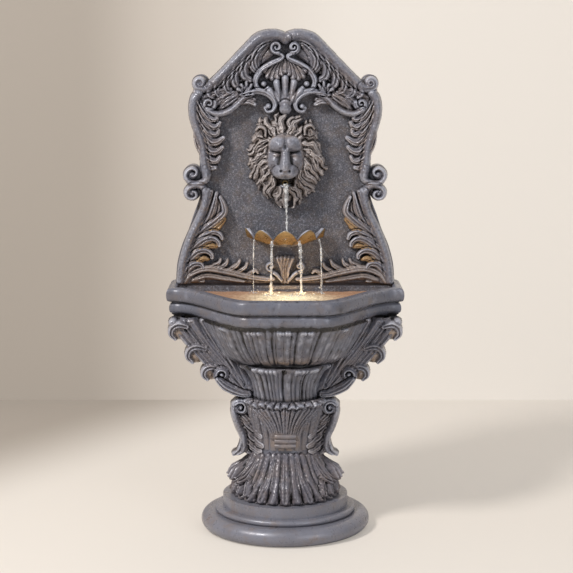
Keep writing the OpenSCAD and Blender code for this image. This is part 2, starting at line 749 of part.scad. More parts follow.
module rear_cover() {
    color(dark_bronze)
    difference() {
        translate([0, panel_back_y - cover_thick, 0]) on_back() linear_extrude(cover_thick)
            polygon(inset(panel_outline, panel_wall + fit));
        cover_places() translate([0, panel_back_y + 1, 0]) rotate([90, 0, 0])
            cylinder(h = cover_thick + 2, r = screw_r + run_fit, $fn = 32);
    }
}
module cover_screws() {
    color(steel)
    cover_places() translate([0, panel_back_y, 0]) rotate([-90, 0, 0]) slotted_screw(screw_bite - 4);
}
module panel_screws() {
    color(steel)
    panel_screw_places() translate([0, 0, panel_wall]) slotted_screw(panel_wall + screw_bite - 4);
}

// Carving on the panel, drawn on its right half as points [x, height above the rim]

module crest_half(grow = 0) {
    deep = frame_relief;
    band(curve([[2, 634], [34, 643], [72, 630], [110, 595], [150, 553], [184, 522], [210, 512]], 9),
        30, 20, deep, deep - 8, grow);
    bud(ear, ear[2] - 1 + grow, deep + grow);
    for (leaf = [
        [[50, 626], [79, 608], [88, 582], [74, 560]],
        [[80, 616], [107, 590], [113, 558], [96, 530]],
        [[110, 590], [134, 566], [143, 540], [128, 512]],
        [[138, 564], [158, 543], [170, 518], [158, 494]]
    ])
        lobe(leaf, 24, carve_relief, 3, grow);
    // The volute at the top and the canopy that hangs under it
    top_eye = [22, 610];
    band(spiral(top_eye, 17, 250, 0.9, 8), 11, 9, deep - 4, deep, grow);
    bud(top_eye, 6 + grow, deep + grow);
    band(curve([[20, 594], [12, 582], [38, 567], [66, 548], [77, 524], [64, 505], [48, 510]], 9),
        14, 10, deep - 6, deep - 4, grow);
    bud([54, 519], 8 + grow, deep - 2 + grow);
    for (tip = [[44, 532], [20, 540]])
        lobe([[8, 574], tip], 18, carve_relief - 4, 2, grow);
    // The scroll that runs in from the shoulder
    eye = [195, 466];
    band(spiral(eye, 17, 200, 0.9, 8), 12, 9, deep - 6, deep - 2, grow);
    bud(eye, 7 + grow, deep - 4 + grow);
    band(curve([[196, 447], [168, 441], [138, 452], [110, 474]], 4),
        14, 12, deep - 6, deep - 8, grow);
    band(curve([[124, 486], [84, 496], [50, 494], [27, 476], [26, 455], [42, 446]], 8),
        14, 10, deep - 6, deep - 4, grow);
    bud([43, 462], 8 + grow, deep - 2 + grow);
    for (leaf = [[[158, 460], [138, 480], [112, 492]], [[130, 458], [102, 474], [76, 468]]])
        lobe(leaf, 20, carve_relief, 3, grow);
    for (tip = [[120, 506], [98, 522]])
        lobe([[98, 494], tip], 17, carve_relief - 4, 1, grow);
}
module crest_mass(grow = 0) {
    crest_half(grow);
    mirror([1, 0]) crest_half(grow);
    lobe([[0, 578], [0, 562], [0, 548]], 15, carve_relief - 4, 2, grow);
}
module palmette_mass(grow = 0) {
    for (tip = [[-40, 500], [-22, 522], [0, 532], [22, 522], [40, 500]])
        lobe([[tip[0] * 0.12, 462], [tip[0] * 0.5, 484], tip], 17, frame_relief, 2, grow);
    bud([0, 462], 16 + grow, frame_relief + 4 + grow);
}
module crest_carving() {
    color(bronze)
    on_drawing() difference() {
        crest_mass();
        palmette_mass(fit);
    }
}
module crest_palmette() color(light_bronze) on_drawing() palmette_mass();

module side_frame_mass(grow = 0) {
    deep = frame_relief;
    band(curve([[230, 484], [233, 446], [222, 402], [211, 362], [204, 318], [200, 284]], 7),
        frame_w, 24, deep, deep, grow);
    band(curve([[200, 290], [212, 266], [236, 262], [254, 279], [246, 300], [232, 298]], 8),
        20, 11, deep, deep - 2, grow);
    bud(curls[0], 8 + grow, deep + grow);
    band(curve([[232, 226], [246, 222], [256, 237], [243, 253], [219, 252], [203, 236]], 7),
        11, 18, deep - 2, deep, grow);
    bud(curls[1], 8 + grow, deep + grow);
    band(curve([[204, 240], [208, 198], [225, 156], [248, 106], [264, 55], [269, 6]], 7),
        20, 30, deep, deep, grow);
    for (leaf = [
        [[224, 450], [200, 430], [168, 426]], [[220, 416], [194, 398], [162, 404]],
        [[212, 382], [188, 362], [160, 374]], [[206, 346], [190, 326], [168, 336]],
        [[206, 176], [190, 205], [178, 232]], [[223, 136], [192, 162], [160, 190]],
        [[243, 90], [220, 118], [188, 130], [168, 112]], [[262, 40], [242, 70], [214, 88], [194, 76]]
    ])
        lobe(leaf, 32, carve_relief, 3, grow);
}
module side_frame(side) {
    color(bronze)
    on_drawing() mirror([side < 0 ? 1 : 0, 0]) difference() {
        side_frame_mass();
        crest_half(fit);
        translate([0, -20, -1]) cube([400, 20, 100]);
    }
}
module lower_palmette_mass(grow = 0) {
    for (tip = [[-17, 66], [0, 70], [17, 66]])
        lobe([[tip[0] * 0.3, 8], [tip[0] * 0.45, 36], tip], 18, carve_relief, 2, grow);
    for (side = [-1, 1]) {
        bud([side * 38, 44], 12 + grow, carve_relief + grow);
        band([[side * 38, 36], [side * 12, 12]], 14, 14, carve_relief - 6, carve_relief - 6, grow);
    }
}
module garland_half() {
    band(curve([[262, 12], [240, 32], [195, 40], [140, 32], [86, 20], [40, 12]], 7),
        22, 16, carve_relief, carve_relief);
    for (leaf = [
        [[206, 40], [186, 48], [170, 62]], [[156, 36], [138, 44], [122, 60]],
        [[106, 26], [90, 34], [72, 30]], [[236, 22], [216, 14], [194, 14]]
    ])
        lobe(leaf, 19, carve_relief - 4, 2);
}
module lower_garland() {
    color(tan_bronze)
    on_drawing() difference() {
        union() {
            garland_half();
            mirror([1, 0]) garland_half();
        }
        side_frame_mass(fit);
        mirror([1, 0]) side_frame_mass(fit);
        lower_palmette_mass(fit);
        translate([-400, -20, -1]) cube([800, 20, 100]);
    }
}
module lower_palmette() {
    color(bronze)
    on_drawing() difference() {
        lower_palmette_mass();
        translate([-400, -20, -1]) cube([800, 20, 100]);
    }
}

// Lion mask

face_steps = 36;
face_rings = 10;
// How far the face stands out at u across and v up, both as shares of its half size: a broad
// muzzle, a flat nose between two deep eye hollows, heavy brows, and the mouth under the nose.
function face_relief(u, v) =
    let (a = abs(u), nose_w = 0.13 + 0.12 * clamp((0.35 - v) / 0.6))
    nose_reach * (0.46 + 0.1 * (1 - pow(a, 3)) * (1 - v * v * abs(v)))
    + 30 * smooth((0.8 - a) * 1.9) * smooth((0.3 - v) * 1.7) * smooth((v + 0.52) * 9)
    + 18 * smooth((0.3 - a) * 1.6) * smooth((v + 0.62) * 3)
    + 12 * smooth((nose_w + 0.1 - a) * 8) * smooth((v + 0.3) * 9) * smooth((0.75 - v) * 3)
    + 16 * smooth((0.86 - a) * 4) * smooth((v - 0.3) * 9) * smooth((1.02 - v) * 2.2)
    - 9 * hump((a - 0.45) / 0.26) * hump((v - 0.24) / 0.12)
    + 14 * hump(a / 0.42) * hump((v + 0.92) / 0.14)
    - 7 * hump(a / 0.09) * smooth((v - 0.4) * 6);
// A point of the face's outline, or of a ring at share r of it: a blunt oval, narrower at the chin.
function face_at(r, a) =
    let (q = r * (1 + 0.1 * pow(sin(2 * a), 2)), v = q * sin(a))
    [q * cos(a) * (v < 0 ? 1 - 0.16 * v * v : 1), v];
function face_outline(grow) = [for (k = [0 : face_steps - 1]) let (p = face_at(1, 360 * k / face_steps))
    [p[0] * (face_half_w + grow), p[1] * (face_half_h + grow)]];
function face_ring(r, flat) =
    [for (k = [0 : face_steps - 1])
        let (p = face_at(r, 360 * k / face_steps))
        [p[0] * face_half_w, p[1] * face_half_h, flat ? 0 : face_relief(p[0], p[1])]];

module lion_face() {
    color(light_bronze)
    on_field(mask_rise * panel_up) difference() {
        scale([1, panel_up, 1]) skin(concat([face_ring(1, true)],
            [for (k = [face_rings : -1 : 0]) face_ring(k == 0 ? 0.02 : k / face_rings, false)]));
        translate([0, -mouth_drop * panel_up, -1])
            cylinder(h = nose_reach + 40, r = spout_r + fit, $fn = 32);
    }
}

// Rows of locks: how far out they start, how many, their width and their share of the relief.
curl_rows = [[0.66, 13, 34, 1], [0.86, 16, 32, 0.74]];
module lion_mane() {
    color(tan_bronze)
    on_field(mask_rise * panel_up) scale([1, panel_up, 1]) difference() {
        union() {
            scale([mane_half_w * 0.84, mane_half_h * 0.84, 1])
                cylinder(h = mane_relief * 0.6, r = 1, $fn = 24);
            for (row = curl_rows, k = [0 : row[1] - 1]) {
                a = 90 + 360 * (k + 0.5) / row[1];
                turn = k < row[1] / 2 ? 90 : -90;
                path = [for (s = [-0.08, 0.06, 0.19])
                    let (b = a + turn * s, r = row[0] + s)
                    [mane_half_w * r * cos(b), mane_half_h * r * sin(b)]];
                lobe(path, row[2], mane_relief * row[3], 2);
            }
            both_sides() bud([mane_half_w * 0.6, mane_half_h * 0.68], 15, mane_relief + 12);
        }
        translate([0, 0, -1]) linear_extrude(200) polygon(face_outline(fit));
    }
}

module spout_nozzle() {
    barb_drop = 24;
    color(brass)
    difference() {
        union() {
            translate([0, elbow_y, mouth_z]) rotate([90, 0, 0])
                cylinder(h = elbow_y - spout_tip_y, r = spout_r, $fn = 48);
            translate([0, elbow_y, mouth_z]) sphere(r = spout_r + 2, $fn = 48);
            translate([0, elbow_y, mouth_z - barb_drop]) cylinder(h = barb_drop, r = outlet_r, $fn = 48);
            translate([0, pocket_y + 4, mouth_z]) rotate([90, 0, 0])
                cylinder(h = 4, r = spout_r + 6, $fn = 6);
        }
        translate([0, elbow_y, mouth_z]) rotate([90, 0, 0])
            cylinder(h = elbow_y - spout_tip_y + 1, r = spout_bore_r, $fn = 48);
        translate([0, elbow_y, mouth_z - barb_drop - 1])
            cylinder(h = barb_drop + 1, r = outlet_r - outlet_wall, $fn = 48);
    }
}

// Shell bowl

shell_steps = 40;
scallops = 5;
// One ring of the shell: s is its share of the rim's size, low its drop, wave its scallops' height.
function shell_ring(s, low, wave, back) =
    [for (k = [0 : shell_steps])
        let (
            a = 180 * k / shell_steps, w = abs(sin(scallops * a)),
            r = s * (0.93 + 0.07 * w * (wave > 0 ? 1 : 0))
        )
        [-shell_half_w * r * cos(a), field_y - back - (shell_reach - back) * r * sin(a),
            rim_top + shell_rise * panel_up - low + wave * (w - 0.5)]];
module shell_bowl() {
    inner = 1 - shell_wall / shell_reach;
    color(gold_bronze)
    difference() {
        skin(concat(
            [for (s = [[0.14, 1, 0], [0.4, 0.86, 0.2], [0.68, 0.6, 0.4], [0.88, 0.3, 0.7], [1, 0, 1]])
                shell_ring(s[0], shell_deep * s[1], scallop_h * s[2], 0)],
            [for (s = [[1, 0, 1], [0.86, 0.3, 0.7], [0.64, 0.6, 0.4], [0.36, 0.84, 0]])
                shell_ring(s[0] * inner, shell_deep * s[1] - (s[1] > 0 ? shell_wall : 1),
                    scallop_h * s[2], shell_wall)]
        ));
        shell_screw_places() translate([0, 0, -panel_wall - shell_wall + 2])
            cylinder(h = shell_wall, r = screw_r + run_fit, $fn = 32);
    }
}
module shell_screws() {
    color(steel)
    shell_screw_places() slotted_screw(panel_wall + shell_wall - 3);
}

// Pump and water way

tube_start = [outlet_x, pump_y, outlet_z - outlet_rise + 3];
tube_end = [0, elbow_y, mouth_z - spout_r - 4];
tube_steps = 16;
tube_sides = 8;
// The tube climbs straight, leans over to the panel's middle, and climbs straight again.
function tube_point(t) = let (z = mix(tube_start[2], tube_end[2], t),
    s = smooth((z - outlet_z - 4) / (rim_top - outlet_z - 20)))
    [mix(tube_start[0], tube_end[0], s), mix(tube_start[1], tube_end[1], s), z];
function tube_ring(t, r) = let (p = tube_point(t))
    [for (k = [0 : tube_sides - 1]) let (a = 360 * (k + 0.5) / tube_sides)
        [p[0] + r * cos(a), p[1] + r * sin(a), p[2]]];
function tube_share(k) = pow(k / tube_steps, 1.6);
module water_tube() {
    color([0.75, 0.8, 0.82])
    difference() {
        skin([for (k = [0 : tube_steps]) tube_ring(tube_share(k), tube_r)]);
        skin([for (k = [0 : tube_steps])
            tube_ring(k == 0 ? -0.003 : k == tube_steps ? 1.003 : tube_share(k), outlet_r * 1.06 + fit)]);
    }
}
clip_h = 12;
clip_rises = [70, 190];
module tube_clips() {
    color(black_plastic)
    for (rise = clip_rises) translate([0, 0, rim_top + rise]) difference() {
        union() {
            translate([0, elbow_y, 0]) cylinder(h = clip_h, r = tube_r + 3.5, $fn = 48);
            translate([-12, pocket_y, 0]) cube([24, elbow_y - pocket_y - 4, clip_h]);
        }
        translate([0, elbow_y, -1]) cylinder(h = clip_h + 2, r = tube_r + fit, $fn = 48);
    }
}

// Puts a round thing on the pump's axis, drawn along +Z, so that it points to +X.
module on_axis(x) translate([x, pump_y, chamber_z]) rotate([0, 90, 0]) children();
shaft_bite = 8;
press_gap = 0.02;
module pump_body() {
    color(black_plastic)
    difference() {
        union() {
            translate([-pump_len / 2, pump_y - pump_deep / 2, pump_z])
                cube([pump_len, pump_deep, pump_tall]);
            translate([outlet_x, pump_y, pump_z]) cylinder(h = outlet_z - pump_z, r = outlet_r, $fn = 48);
        }
        on_axis(chamber_x - chamber_deep) cylinder(h = chamber_deep + 1, r = chamber_r, $fn = 64);
        on_axis(chamber_x - chamber_deep - shaft_bite)
            cylinder(h = shaft_bite + 1, r = shaft_r + press_gap, $fn = 32);
        translate([outlet_x, pump_y, chamber_z]) cylinder(h = 80, r = outlet_r - outlet_wall, $fn = 48);
    }
}
module impeller_shaft() {
    color(steel)
    on_axis(chamber_x - chamber_deep - shaft_bite)
        cylinder(h = shaft_bite + chamber_deep - 1, r = shaft_r, $fn = 32);
}
module impeller() {
    tip_r = chamber_r - 1.5;
    hub_h = chamber_deep - 3;
    color([0.85, 0.85, 0.8])
    on_axis(chamber_x - chamber_deep + 1) difference() {
        union() {
            cylinder(h = hub_h, r = 4.5, $fn = 32);
            cylinder(h = 2, r = tip_r, $fn = 64);
            for (k = [0 : blade_count - 1]) rotate(360 * k / blade_count)
                translate([0, -0.75, 0]) cube([tip_r - 0.5, 1.5, hub_h - 1]);
        }
        translate([0, 0, -1]) cylinder(h = hub_h + 2, r = shaft_r + run_fit, $fn = 32);
    }
}
volute_thick = 3;
intake_r = 6;
intake_deep = 12;
gate_thick = 1.6;
gate_w = 16;
gate_x = chamber_x + volute_thick + 1;
module volute_cover() {
    color(black_plastic)
    difference() {
        translate([chamber_x, pump_y - pump_deep / 2, pump_z]) cube([volute_thick, pump_deep, pump_tall]);
        on_axis(chamber_x - 1) cylinder(h = volute_thick + 2, r = intake_r, $fn = 48);
    }
}
// The gate hangs in the slot of the intake cover, and slides down over the intake.
gate_low_z = chamber_z + intake_r - gate_travel + 9;
module flow_gate() {
    tab_w = 6;
    pump_top = pump_z + pump_tall - gate_low_z;
    color([0.6, 0.12, 0.1])
    translate([gate_x, pump_y, gate_low_z]) {
        translate([0, -gate_w / 2, 0]) cube([gate_thick, gate_w, pump_top - 4]);
        translate([0, -tab_w / 2, 0]) cube([gate_thick, tab_w, pump_top + gate_travel + 4]);
    }
}
module intake_cover() {
    wall = 2;
    low = chamber_x + volute_thick;
    color(black_plastic)
    difference() {
        translate([low, pump_y - pump_deep / 2, pump_z]) cube([intake_deep, pump_deep, pump_tall]);
        translate([low - 1, pump_y - pump_deep / 2 + wall, pump_z + wall])
            cube([intake_deep - wall + 1, pump_deep - 2 * wall, pump_tall - 2 * wall]);
        translate([gate_x - run_fit, pump_y - 3 - run_fit, pump_z + pump_tall - wall - 1])
            cube([gate_thick + 2 * run_fit, 6 + 2 * run_fit, wall + 2]);
        for (k = [-3 : 3])
            translate([low + intake_deep - wall - 1, pump_y + k * 5 - 1, pump_z + 6])
                cube([wall + 2, 2, pump_tall - 12]);
    }
}
module suction_feet() {
    color(rubber)
    for (sx = [-1, 1], sy = [-1, 1])
        translate([sx * (pump_len / 2 - 9), pump_y + sy * (pump_deep / 2 - 9), floor_z]) {
            cylinder(h = 2, r = 8, $fn = 32);
            cylinder(h = sucker_h, r = 5, $fn = 32);
        }
}

stopper_len = 14;
module drain_stopper() {
    color(rubber)
    difference() {
        union() {
            translate([0, 0, floor_z - stopper_len])
                cylinder(h = stopper_len + 2, r = drain_r - run_fit, $fn = 48);
            translate([0, 0, floor_z + run_fit]) cylinder(h = 5, r = drain_r + 6, $fn = 48);
            translate([0, 0, floor_z + 5]) cylinder(h = 12, r = 4, $fn = 32);
            translate([0, 0, floor_z + 16]) sphere(r = 6, $fn = 32);
        }
        for (side = [-1, 1])
            translate([side * 10, 0, floor_z - stopper_len - 1])
                cylinder(h = stopper_len + 8, r = 3.2, $fn = 32);
    }
}

// Lamp

ear_x = lamp_r + 2;
ear_thick = 4;
bracket_w = 2 * (ear_x + ear_thick);
bracket_tall = 30;
module bracket_screw_places()
    both_sides() translate([lamp_r - 4, screen_y - bracket_thick, lamp_z]) rotate([90, 0, 0]) children();
module lamp_bracket() {
    color(steel)
    difference() {
        union() {
            translate([-bracket_w / 2, screen_y - bracket_thick, lamp_z - bracket_tall / 2])
                cube([bracket_w, bracket_thick, bracket_tall]);
            both_sides() translate([ear_x, lamp_y, lamp_z - 8]) cube([ear_thick, screen_y - lamp_y, 16]);
            both_sides() translate([ear_x, lamp_y, lamp_z]) rotate([0, 90, 0])
                cylinder(h = ear_thick, r = 8, $fn = 48);
        }
        translate([-bracket_w, lamp_y, lamp_z]) rotate([0, 90, 0])
            cylinder(h = 2 * bracket_w, r = lamp_pin_r + run_fit, $fn = 48);
        bracket_screw_places() translate([0, 0, -bracket_thick - 1])
            cylinder(h = bracket_thick + 2, r = screw_r * 0.6 + run_fit, $fn = 32);
    }
}
module bracket_screws() {
    color(steel)
    bracket_screw_places() {
        cylinder(h = 2, r = screw_r * 1.1, $fn = 32);
        translate([0, 0, -bracket_thick - screen_thick + 2])
            cylinder(h = bracket_thick + screen_thick - 1, r = screw_r * 0.6, $fn = 32);
    }
}
lamp_wall = 2.5;
lens_thick = 3;
bezel_thick = 2.5;
module on_lamp(z) translate([0, lamp_y, lamp_z + z]) children();
module lamp_housing() {
    color(black_plastic)
    difference() {
        union() {
            on_lamp(-lamp_len / 2) cylinder(h = lamp_len - bezel_thick, r = lamp_r, $fn = 64);
            on_lamp(0) translate([-ear_x - ear_thick, 0, 0]) rotate([0, 90, 0])
                cylinder(h = bracket_w, r = lamp_pin_r, $fn = 48);
        }
        on_lamp(-lamp_len / 2 + lamp_wall + 4) cylinder(h = lamp_len, r = lamp_r - lamp_wall, $fn = 64);
    }
}
module led_board() {
    color([0.1, 0.35, 0.2])
    on_lamp(-lamp_len / 2 + lamp_wall + 4) cylinder(h = 1.6, r = lamp_r - lamp_wall - fit, $fn = 48);
    color("white")
    on_lamp(-lamp_len / 2 + lamp_wall + 5.6) for (a = [0 : 120 : 240]) rotate(a)
        translate([6, 0, 0]) cylinder(h = 1.5, r = 2.5, $fn = 24);
}
module lamp_lens() {
    color([0.95, 0.9, 0.75])
    on_lamp(lamp_len / 2 - bezel_thick - lens_thick)
        cylinder(h = lens_thick, r = lamp_r - lamp_wall - fit, $fn = 64);
}
module lamp_bezel() {
    color(steel)
    on_lamp(lamp_len / 2 - bezel_thick) difference() {
        cylinder(h = bezel_thick, r = lamp_r, $fn = 64);
        translate([0, 0, -1]) cylinder(h = bezel_thick + 2, r = lamp_r - lamp_wall - 2.5, $fn = 64);
    }
}

base_plinth();
pedestal_core();
pedestal_bolts();
skirt_leaves();
bell_leaves();
waist_clasp();
scroll_bracket(-1);  // scroll_bracket_left
scroll_bracket(1);  // scroll_bracket_right
basin_shell();
side_leaf(-1);  // side_leaf_left
side_leaf(1);  // side_leaf_right
pump_screen();
back_panel();
panel_screws();
rear_cover();
cover_screws();
crest_carving();
crest_palmette();
side_frame(-1);  // side_frame_left
side_frame(1);  // side_frame_right
lower_garland();
lower_palmette();
lion_mane();
lion_face();
spout_nozzle();
shell_bowl();
shell_screws();
water_tube();
tube_clips();
pump_body();
impeller_shaft();
impeller();
volute_cover();
intake_cover();
flow_gate();
suction_feet();
drain_stopper();
lamp_bracket();
bracket_screws();
lamp_housing();
led_board();
lamp_lens();
lamp_bezel();
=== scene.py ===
"""Looks of a floor fountain: carved panel, lion mask, shell, fluted basin and leaf pedestal."""
import math

import bpy
import numpy as np
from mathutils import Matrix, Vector


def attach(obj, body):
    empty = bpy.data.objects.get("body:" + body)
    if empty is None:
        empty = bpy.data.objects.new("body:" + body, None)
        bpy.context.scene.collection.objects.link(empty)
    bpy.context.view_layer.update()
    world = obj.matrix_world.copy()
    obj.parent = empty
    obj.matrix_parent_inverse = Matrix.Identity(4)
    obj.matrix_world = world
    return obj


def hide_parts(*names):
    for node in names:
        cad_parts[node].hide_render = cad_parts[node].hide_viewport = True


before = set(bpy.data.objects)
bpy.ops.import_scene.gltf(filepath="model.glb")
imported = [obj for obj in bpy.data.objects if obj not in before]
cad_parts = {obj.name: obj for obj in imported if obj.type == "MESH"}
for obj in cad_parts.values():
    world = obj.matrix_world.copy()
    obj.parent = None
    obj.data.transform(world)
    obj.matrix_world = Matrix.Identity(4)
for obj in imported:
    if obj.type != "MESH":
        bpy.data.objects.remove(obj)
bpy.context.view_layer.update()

# Heights and depths of the fountain, in millimetres
MM = 0.001
CUP_Z, BOWL_Z, RIM_Z, GROOVE_Z, RIM_TOP = 340, 430, 548, 578, 614
FIELD_Y, PANEL_BACK_Y = 125, 200
MASK_Z = 930
MASK_V = MASK_Z - RIM_TOP
WATER_Z = 594
RAISED = 0.05  # what stands less than this over its sheet counts as bare
random = np.random.default_rng(7)


# Curves and profiles

def unit(t):
    return np.clip(t, 0, 1)


def smooth(t):
    t = unit(t)
    return t * t * (3 - 2 * t)


def hump(t):
    return np.exp(-np.square(t))


def path(points, step=1.0):
    """A smooth curve through points of any dimension, in even steps."""
    p = np.asarray(points, float)
    q = np.vstack([2 * p[0] - p[1], p, 2 * p[-1] - p[-2]])
    t = np.linspace(0, 1, 24, endpoint=False)[:, None]
    parts = []
    for i in range(len(p) - 1):
        a, b, c, d = q[i:i + 4]
        parts.append(0.5 * (2 * b + (c - a) * t + (2 * a - 5 * b + 4 * c - d) * t ** 2
                            + (3 * b - a - 3 * c + d) * t ** 3))
    dense = np.vstack(parts + [p[-1:]])
    run = np.r_[0, np.cumsum(np.linalg.norm(np.diff(dense, axis=0), axis=1))]
    at = np.linspace(0, run[-1], max(8, int(run[-1] / step)))
    return np.stack([np.interp(at, run, dense[:, k]) for k in range(p.shape[1])], 1)


def spiral(center, r0, r1, start, turns):
    """A spiral from radius r0 to r1 in steps of about 1, from an angle in degrees.

    Negative turns run clockwise."""
    n = max(16, int(abs(turns) * math.pi * (r0 + r1)))
    t = np.linspace(0, 1, n)
    a = np.radians(start + 360 * turns * t)
    r = r0 + (r1 - r0) * t
    return np.stack([center[0] + r * np.cos(a), center[1] + r * np.sin(a)], 1)


# Forms of a stroke: its height share at q across it (-1 to 1) and at t along it (0 to 1)

def round_form(q, t):
    return np.sqrt(unit(1 - q * q))


def band_form(q, t):
    """A scroll's ribbon: full, with a faint groove beside its middle."""
    return unit(1 - q * q) ** 0.42 * (1 - 0.14 * hump((q + 0.25) / 0.3))


def leaf_form(flutes, deep=0.4, lean=0.0):
    """A fluted leaf lobe; lean raises one of its sides."""
    def form(q, t):
        edge = unit(1 - q * q) ** 0.36
        valley = 1 - np.abs(np.sin(math.pi * flutes * (q + 1) / 2))
        return edge * (1 - deep * valley ** 1.5 * smooth(t * 5)) * (1 + lean * q)
    return form


def blur(grid, radius):
    """A Gaussian blur of that radius in cells."""
    n = int(math.ceil(radius * 3))
    k = np.exp(-0.5 * (np.arange(-n, n + 1) / radius) ** 2)
    k /= k.sum()
    out = np.pad(grid, n, mode="edge")
    out = sum(w * out[i:out.shape[0] - 2 * n + i] for i, w in enumerate(k))
    return sum(w * out[:, i:out.shape[1] - 2 * n + i] for i, w in enumerate(k))


class Sheet:
    """A relief that is carved on a flat sheet: strokes raise its height, in millimetres."""

    def __init__(self, low, high, step=1.0):
        self.step = step
        self.u = np.arange(low[0], high[0] + step, step)
        self.v = np.arange(low[1], high[1] + step, step)
        self.h = np.zeros((len(self.u), len(self.v)))
        self.dust_and_glow = np.zeros_like(self.h)

    def grid(self, cut=(slice(None), slice(None))):
        return np.meshgrid(self.u[cut[0]], self.v[cut[1]], indexing="ij")

    def window(self, low, high):
        return tuple(slice(*np.searchsorted(axis, (a, b)))
                     for axis, a, b in zip((self.u, self.v), low, high))

    def measure(self, line, cut):
        """Signed distance across the line and share along it, for each point of the window."""
        u, v = self.grid(cut)
        flat = np.stack([u.ravel(), v.ravel()], 1)
        way = np.gradient(line, axis=0)
        way /= np.linalg.norm(way, axis=1)[:, None] + 1e-9
        x, y = line.T
        near = np.concatenate([np.argmin((part[:, :1] - x) ** 2 + (part[:, 1:] - y) ** 2, 1)
                               for part in np.array_split(flat, len(flat) // 4000 + 1)])
        gap, w = flat - line[near], way[near]
        along = gap[:, 0] * w[:, 0] + gap[:, 1] * w[:, 1]
        across = gap[:, 1] * w[:, 0] - gap[:, 0] * w[:, 1]
        last = len(line) - 1
        past = ((near == 0) & (along < 0)) | ((near == last) & (along > 0))
        across = np.where(past, np.sign(across + 1e-9) * np.hypot(across, along), across)
        return across.reshape(u.shape), (near / last).reshape(u.shape)

    def lay(self, cut, inside, new, past, dust_and_glow, crease):
        """Lays a form over what is there; past is the way beyond its edge, where a crease runs."""
        edge = past / 2.5
        old = self.h[cut] * (1 - crease * hump(edge) * (edge > 0))
        self.dust_and_glow[cut] = np.where(inside & (new >= old), dust_and_glow, self.dust_and_glow[cut])
        self.h[cut] = np.maximum(old, new)

    def stroke(self, points, half, tall, form=round_form, dust_and_glow=0.0, crease=0.35, ready=False):
        """Raises a stroke along the points; half and tall are its half width and height along it.

        dust is one value, or a pair for its right and its left side."""
        line = np.asarray(points, float) if ready else path(points)
        reach = max(half) + 4
        cut = self.window(line.min(0) - reach, line.max(0) + reach)
        across, share = self.measure(line, cut)
        w, h = (np.interp(share, np.linspace(0, 1, len(k)), k) for k in (half, tall))
        q = across / w
        inside = np.abs(q) < 1
        new = np.where(inside, h * form(np.clip(q, -1, 1), share), 0)
        low, high = dust_and_glow if isinstance(dust_and_glow, tuple) else (dust_and_glow, dust_and_glow)
        self.lay(cut, inside, new, np.abs(across) - w, low + (high - low) * smooth(q + 0.5),
                 crease * (self.h[cut] < h + 2))

    def dome(self, center, r, tall, dust_and_glow=0.0, crease=0.3):
        middle, reach = np.array(center), r + 4
        cut = self.window(middle - reach, middle + reach)
        u, v = self.grid(cut)
        d = np.hypot(u - center[0], v - center[1])
        new = np.where(d < r, tall * np.sqrt(unit(1 - (d / r) ** 2)), 0)
        self.lay(cut, d < r, new, d - r, dust_and_glow, crease)

    def finish(self, soft=0.7, grain=0.35):
        """Softens the carving and roughens it slightly."""
        raised = self.h > RAISED
        h = blur(self.h, soft / self.step)
        noise = blur(random.standard_normal(self.h.shape), 1.6 / self.step)
        noise /= noise.std() + 1e-9
        self.h = np.where(raised, np.maximum(h + grain * noise * unit(h / 8), 0.06), 0)
        # Dark in hollows and light on ridges: patina and wear, and painted shade and painted
        # highlight
        near, far = (self.h - blur(self.h, r / self.step) for r in (2.4, 8))
        self.shade_and_wear = 0.6 * np.clip(near / 3.6, -1, 1) + 0.4 * np.clip(far / 11.0, -1, 1)


# Meshes

def add_object(name, data):
    obj = bpy.data.objects.new(name, data)
    bpy.context.scene.collection.objects.link(obj)
    return obj


def add_mesh(name, verts, faces, mats, layers=None, index=None):
    """A mesh object from millimetre vertices; layers are float values by vertex."""
    mesh = bpy.data.meshes.new(name)
    mesh.from_pydata((np.asarray(verts, float) * MM).tolist(), [],
                     faces.tolist() if isinstance(faces, np.ndarray) else faces)
    for key, values in (layers or {}).items():
        layer = mesh.attributes.new(key, "FLOAT", "POINT")
        layer.data.foreach_set("value", np.asarray(values, np.float32))
    mesh.polygons.foreach_set("use_smooth", np.ones(len(mesh.polygons), bool))
    for mat in mats:
        mesh.materials.append(mat)
    if index is not None:
        mesh.polygons.foreach_set("material_index", np.asarray(index, np.int32))
    mesh.update()
    return add_object(name, mesh)


def grid_faces(nu, nv, wrap_u=False, wrap_v=False):
    """Quads of a grid of nu by nv points; a wrapped side joins its last points to its first."""
    a, b = np.meshgrid(np.arange(nu - 1 + wrap_u), np.arange(nv - 1 + wrap_v), indexing="ij")
    a2, b2 = (a + 1) % nu, (b + 1) % nv
    return np.stack([a * nv + b, a2 * nv + b, a2 * nv + b2, a * nv + b2], -1).reshape(-1, 4)


def relief(name, sheet, mat, *places):
    """The raised part of a sheet as a mesh: each place puts (u, v, height) into space.

    Of two places, the first is the front of a slab and the second its back."""
    u, v = sheet.grid()
    faces = grid_faces(*sheet.h.shape)
    faces = faces[sheet.h.ravel()[faces].max(1) > RAISED]
    pts = np.vstack([place(u, v, sheet.h).reshape(-1, 3) for place in places])
    if len(places) > 1:
        faces = np.vstack([faces, faces[:, ::-1] + u.size])
    used, faces = np.unique(faces, return_inverse=True)
    layers = {key: np.tile(values.ravel(), len(places))[used]
              for key, values in (("shade_and_wear", sheet.shade_and_wear), ("dust_and_glow", sheet.dust_and_glow))}
    return add_mesh(name, pts[used], faces.reshape(-1, 4), [mat], layers)


def on_panel(u, v, h):
    """A place on the panel's field: u to the right, v above the rim, h forwards."""
    return np.stack([u, FIELD_Y + 0.2 - h, RIM_TOP + v], -1)


def mirrored(obj, name):
    """A mirror image of a piece across the middle plane."""
    mesh = obj.data.copy()
    mesh.name = name
    co = np.empty(len(mesh.vertices) * 3, np.float32)
    mesh.vertices.foreach_get("co", co)
    co[0::3] *= -1
    mesh.vertices.foreach_set("co", co)
    mesh.flip_normals()
    return add_object(name, mesh)


def declare(obj, node):
    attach(obj, "root")
    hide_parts(node)


# Materials

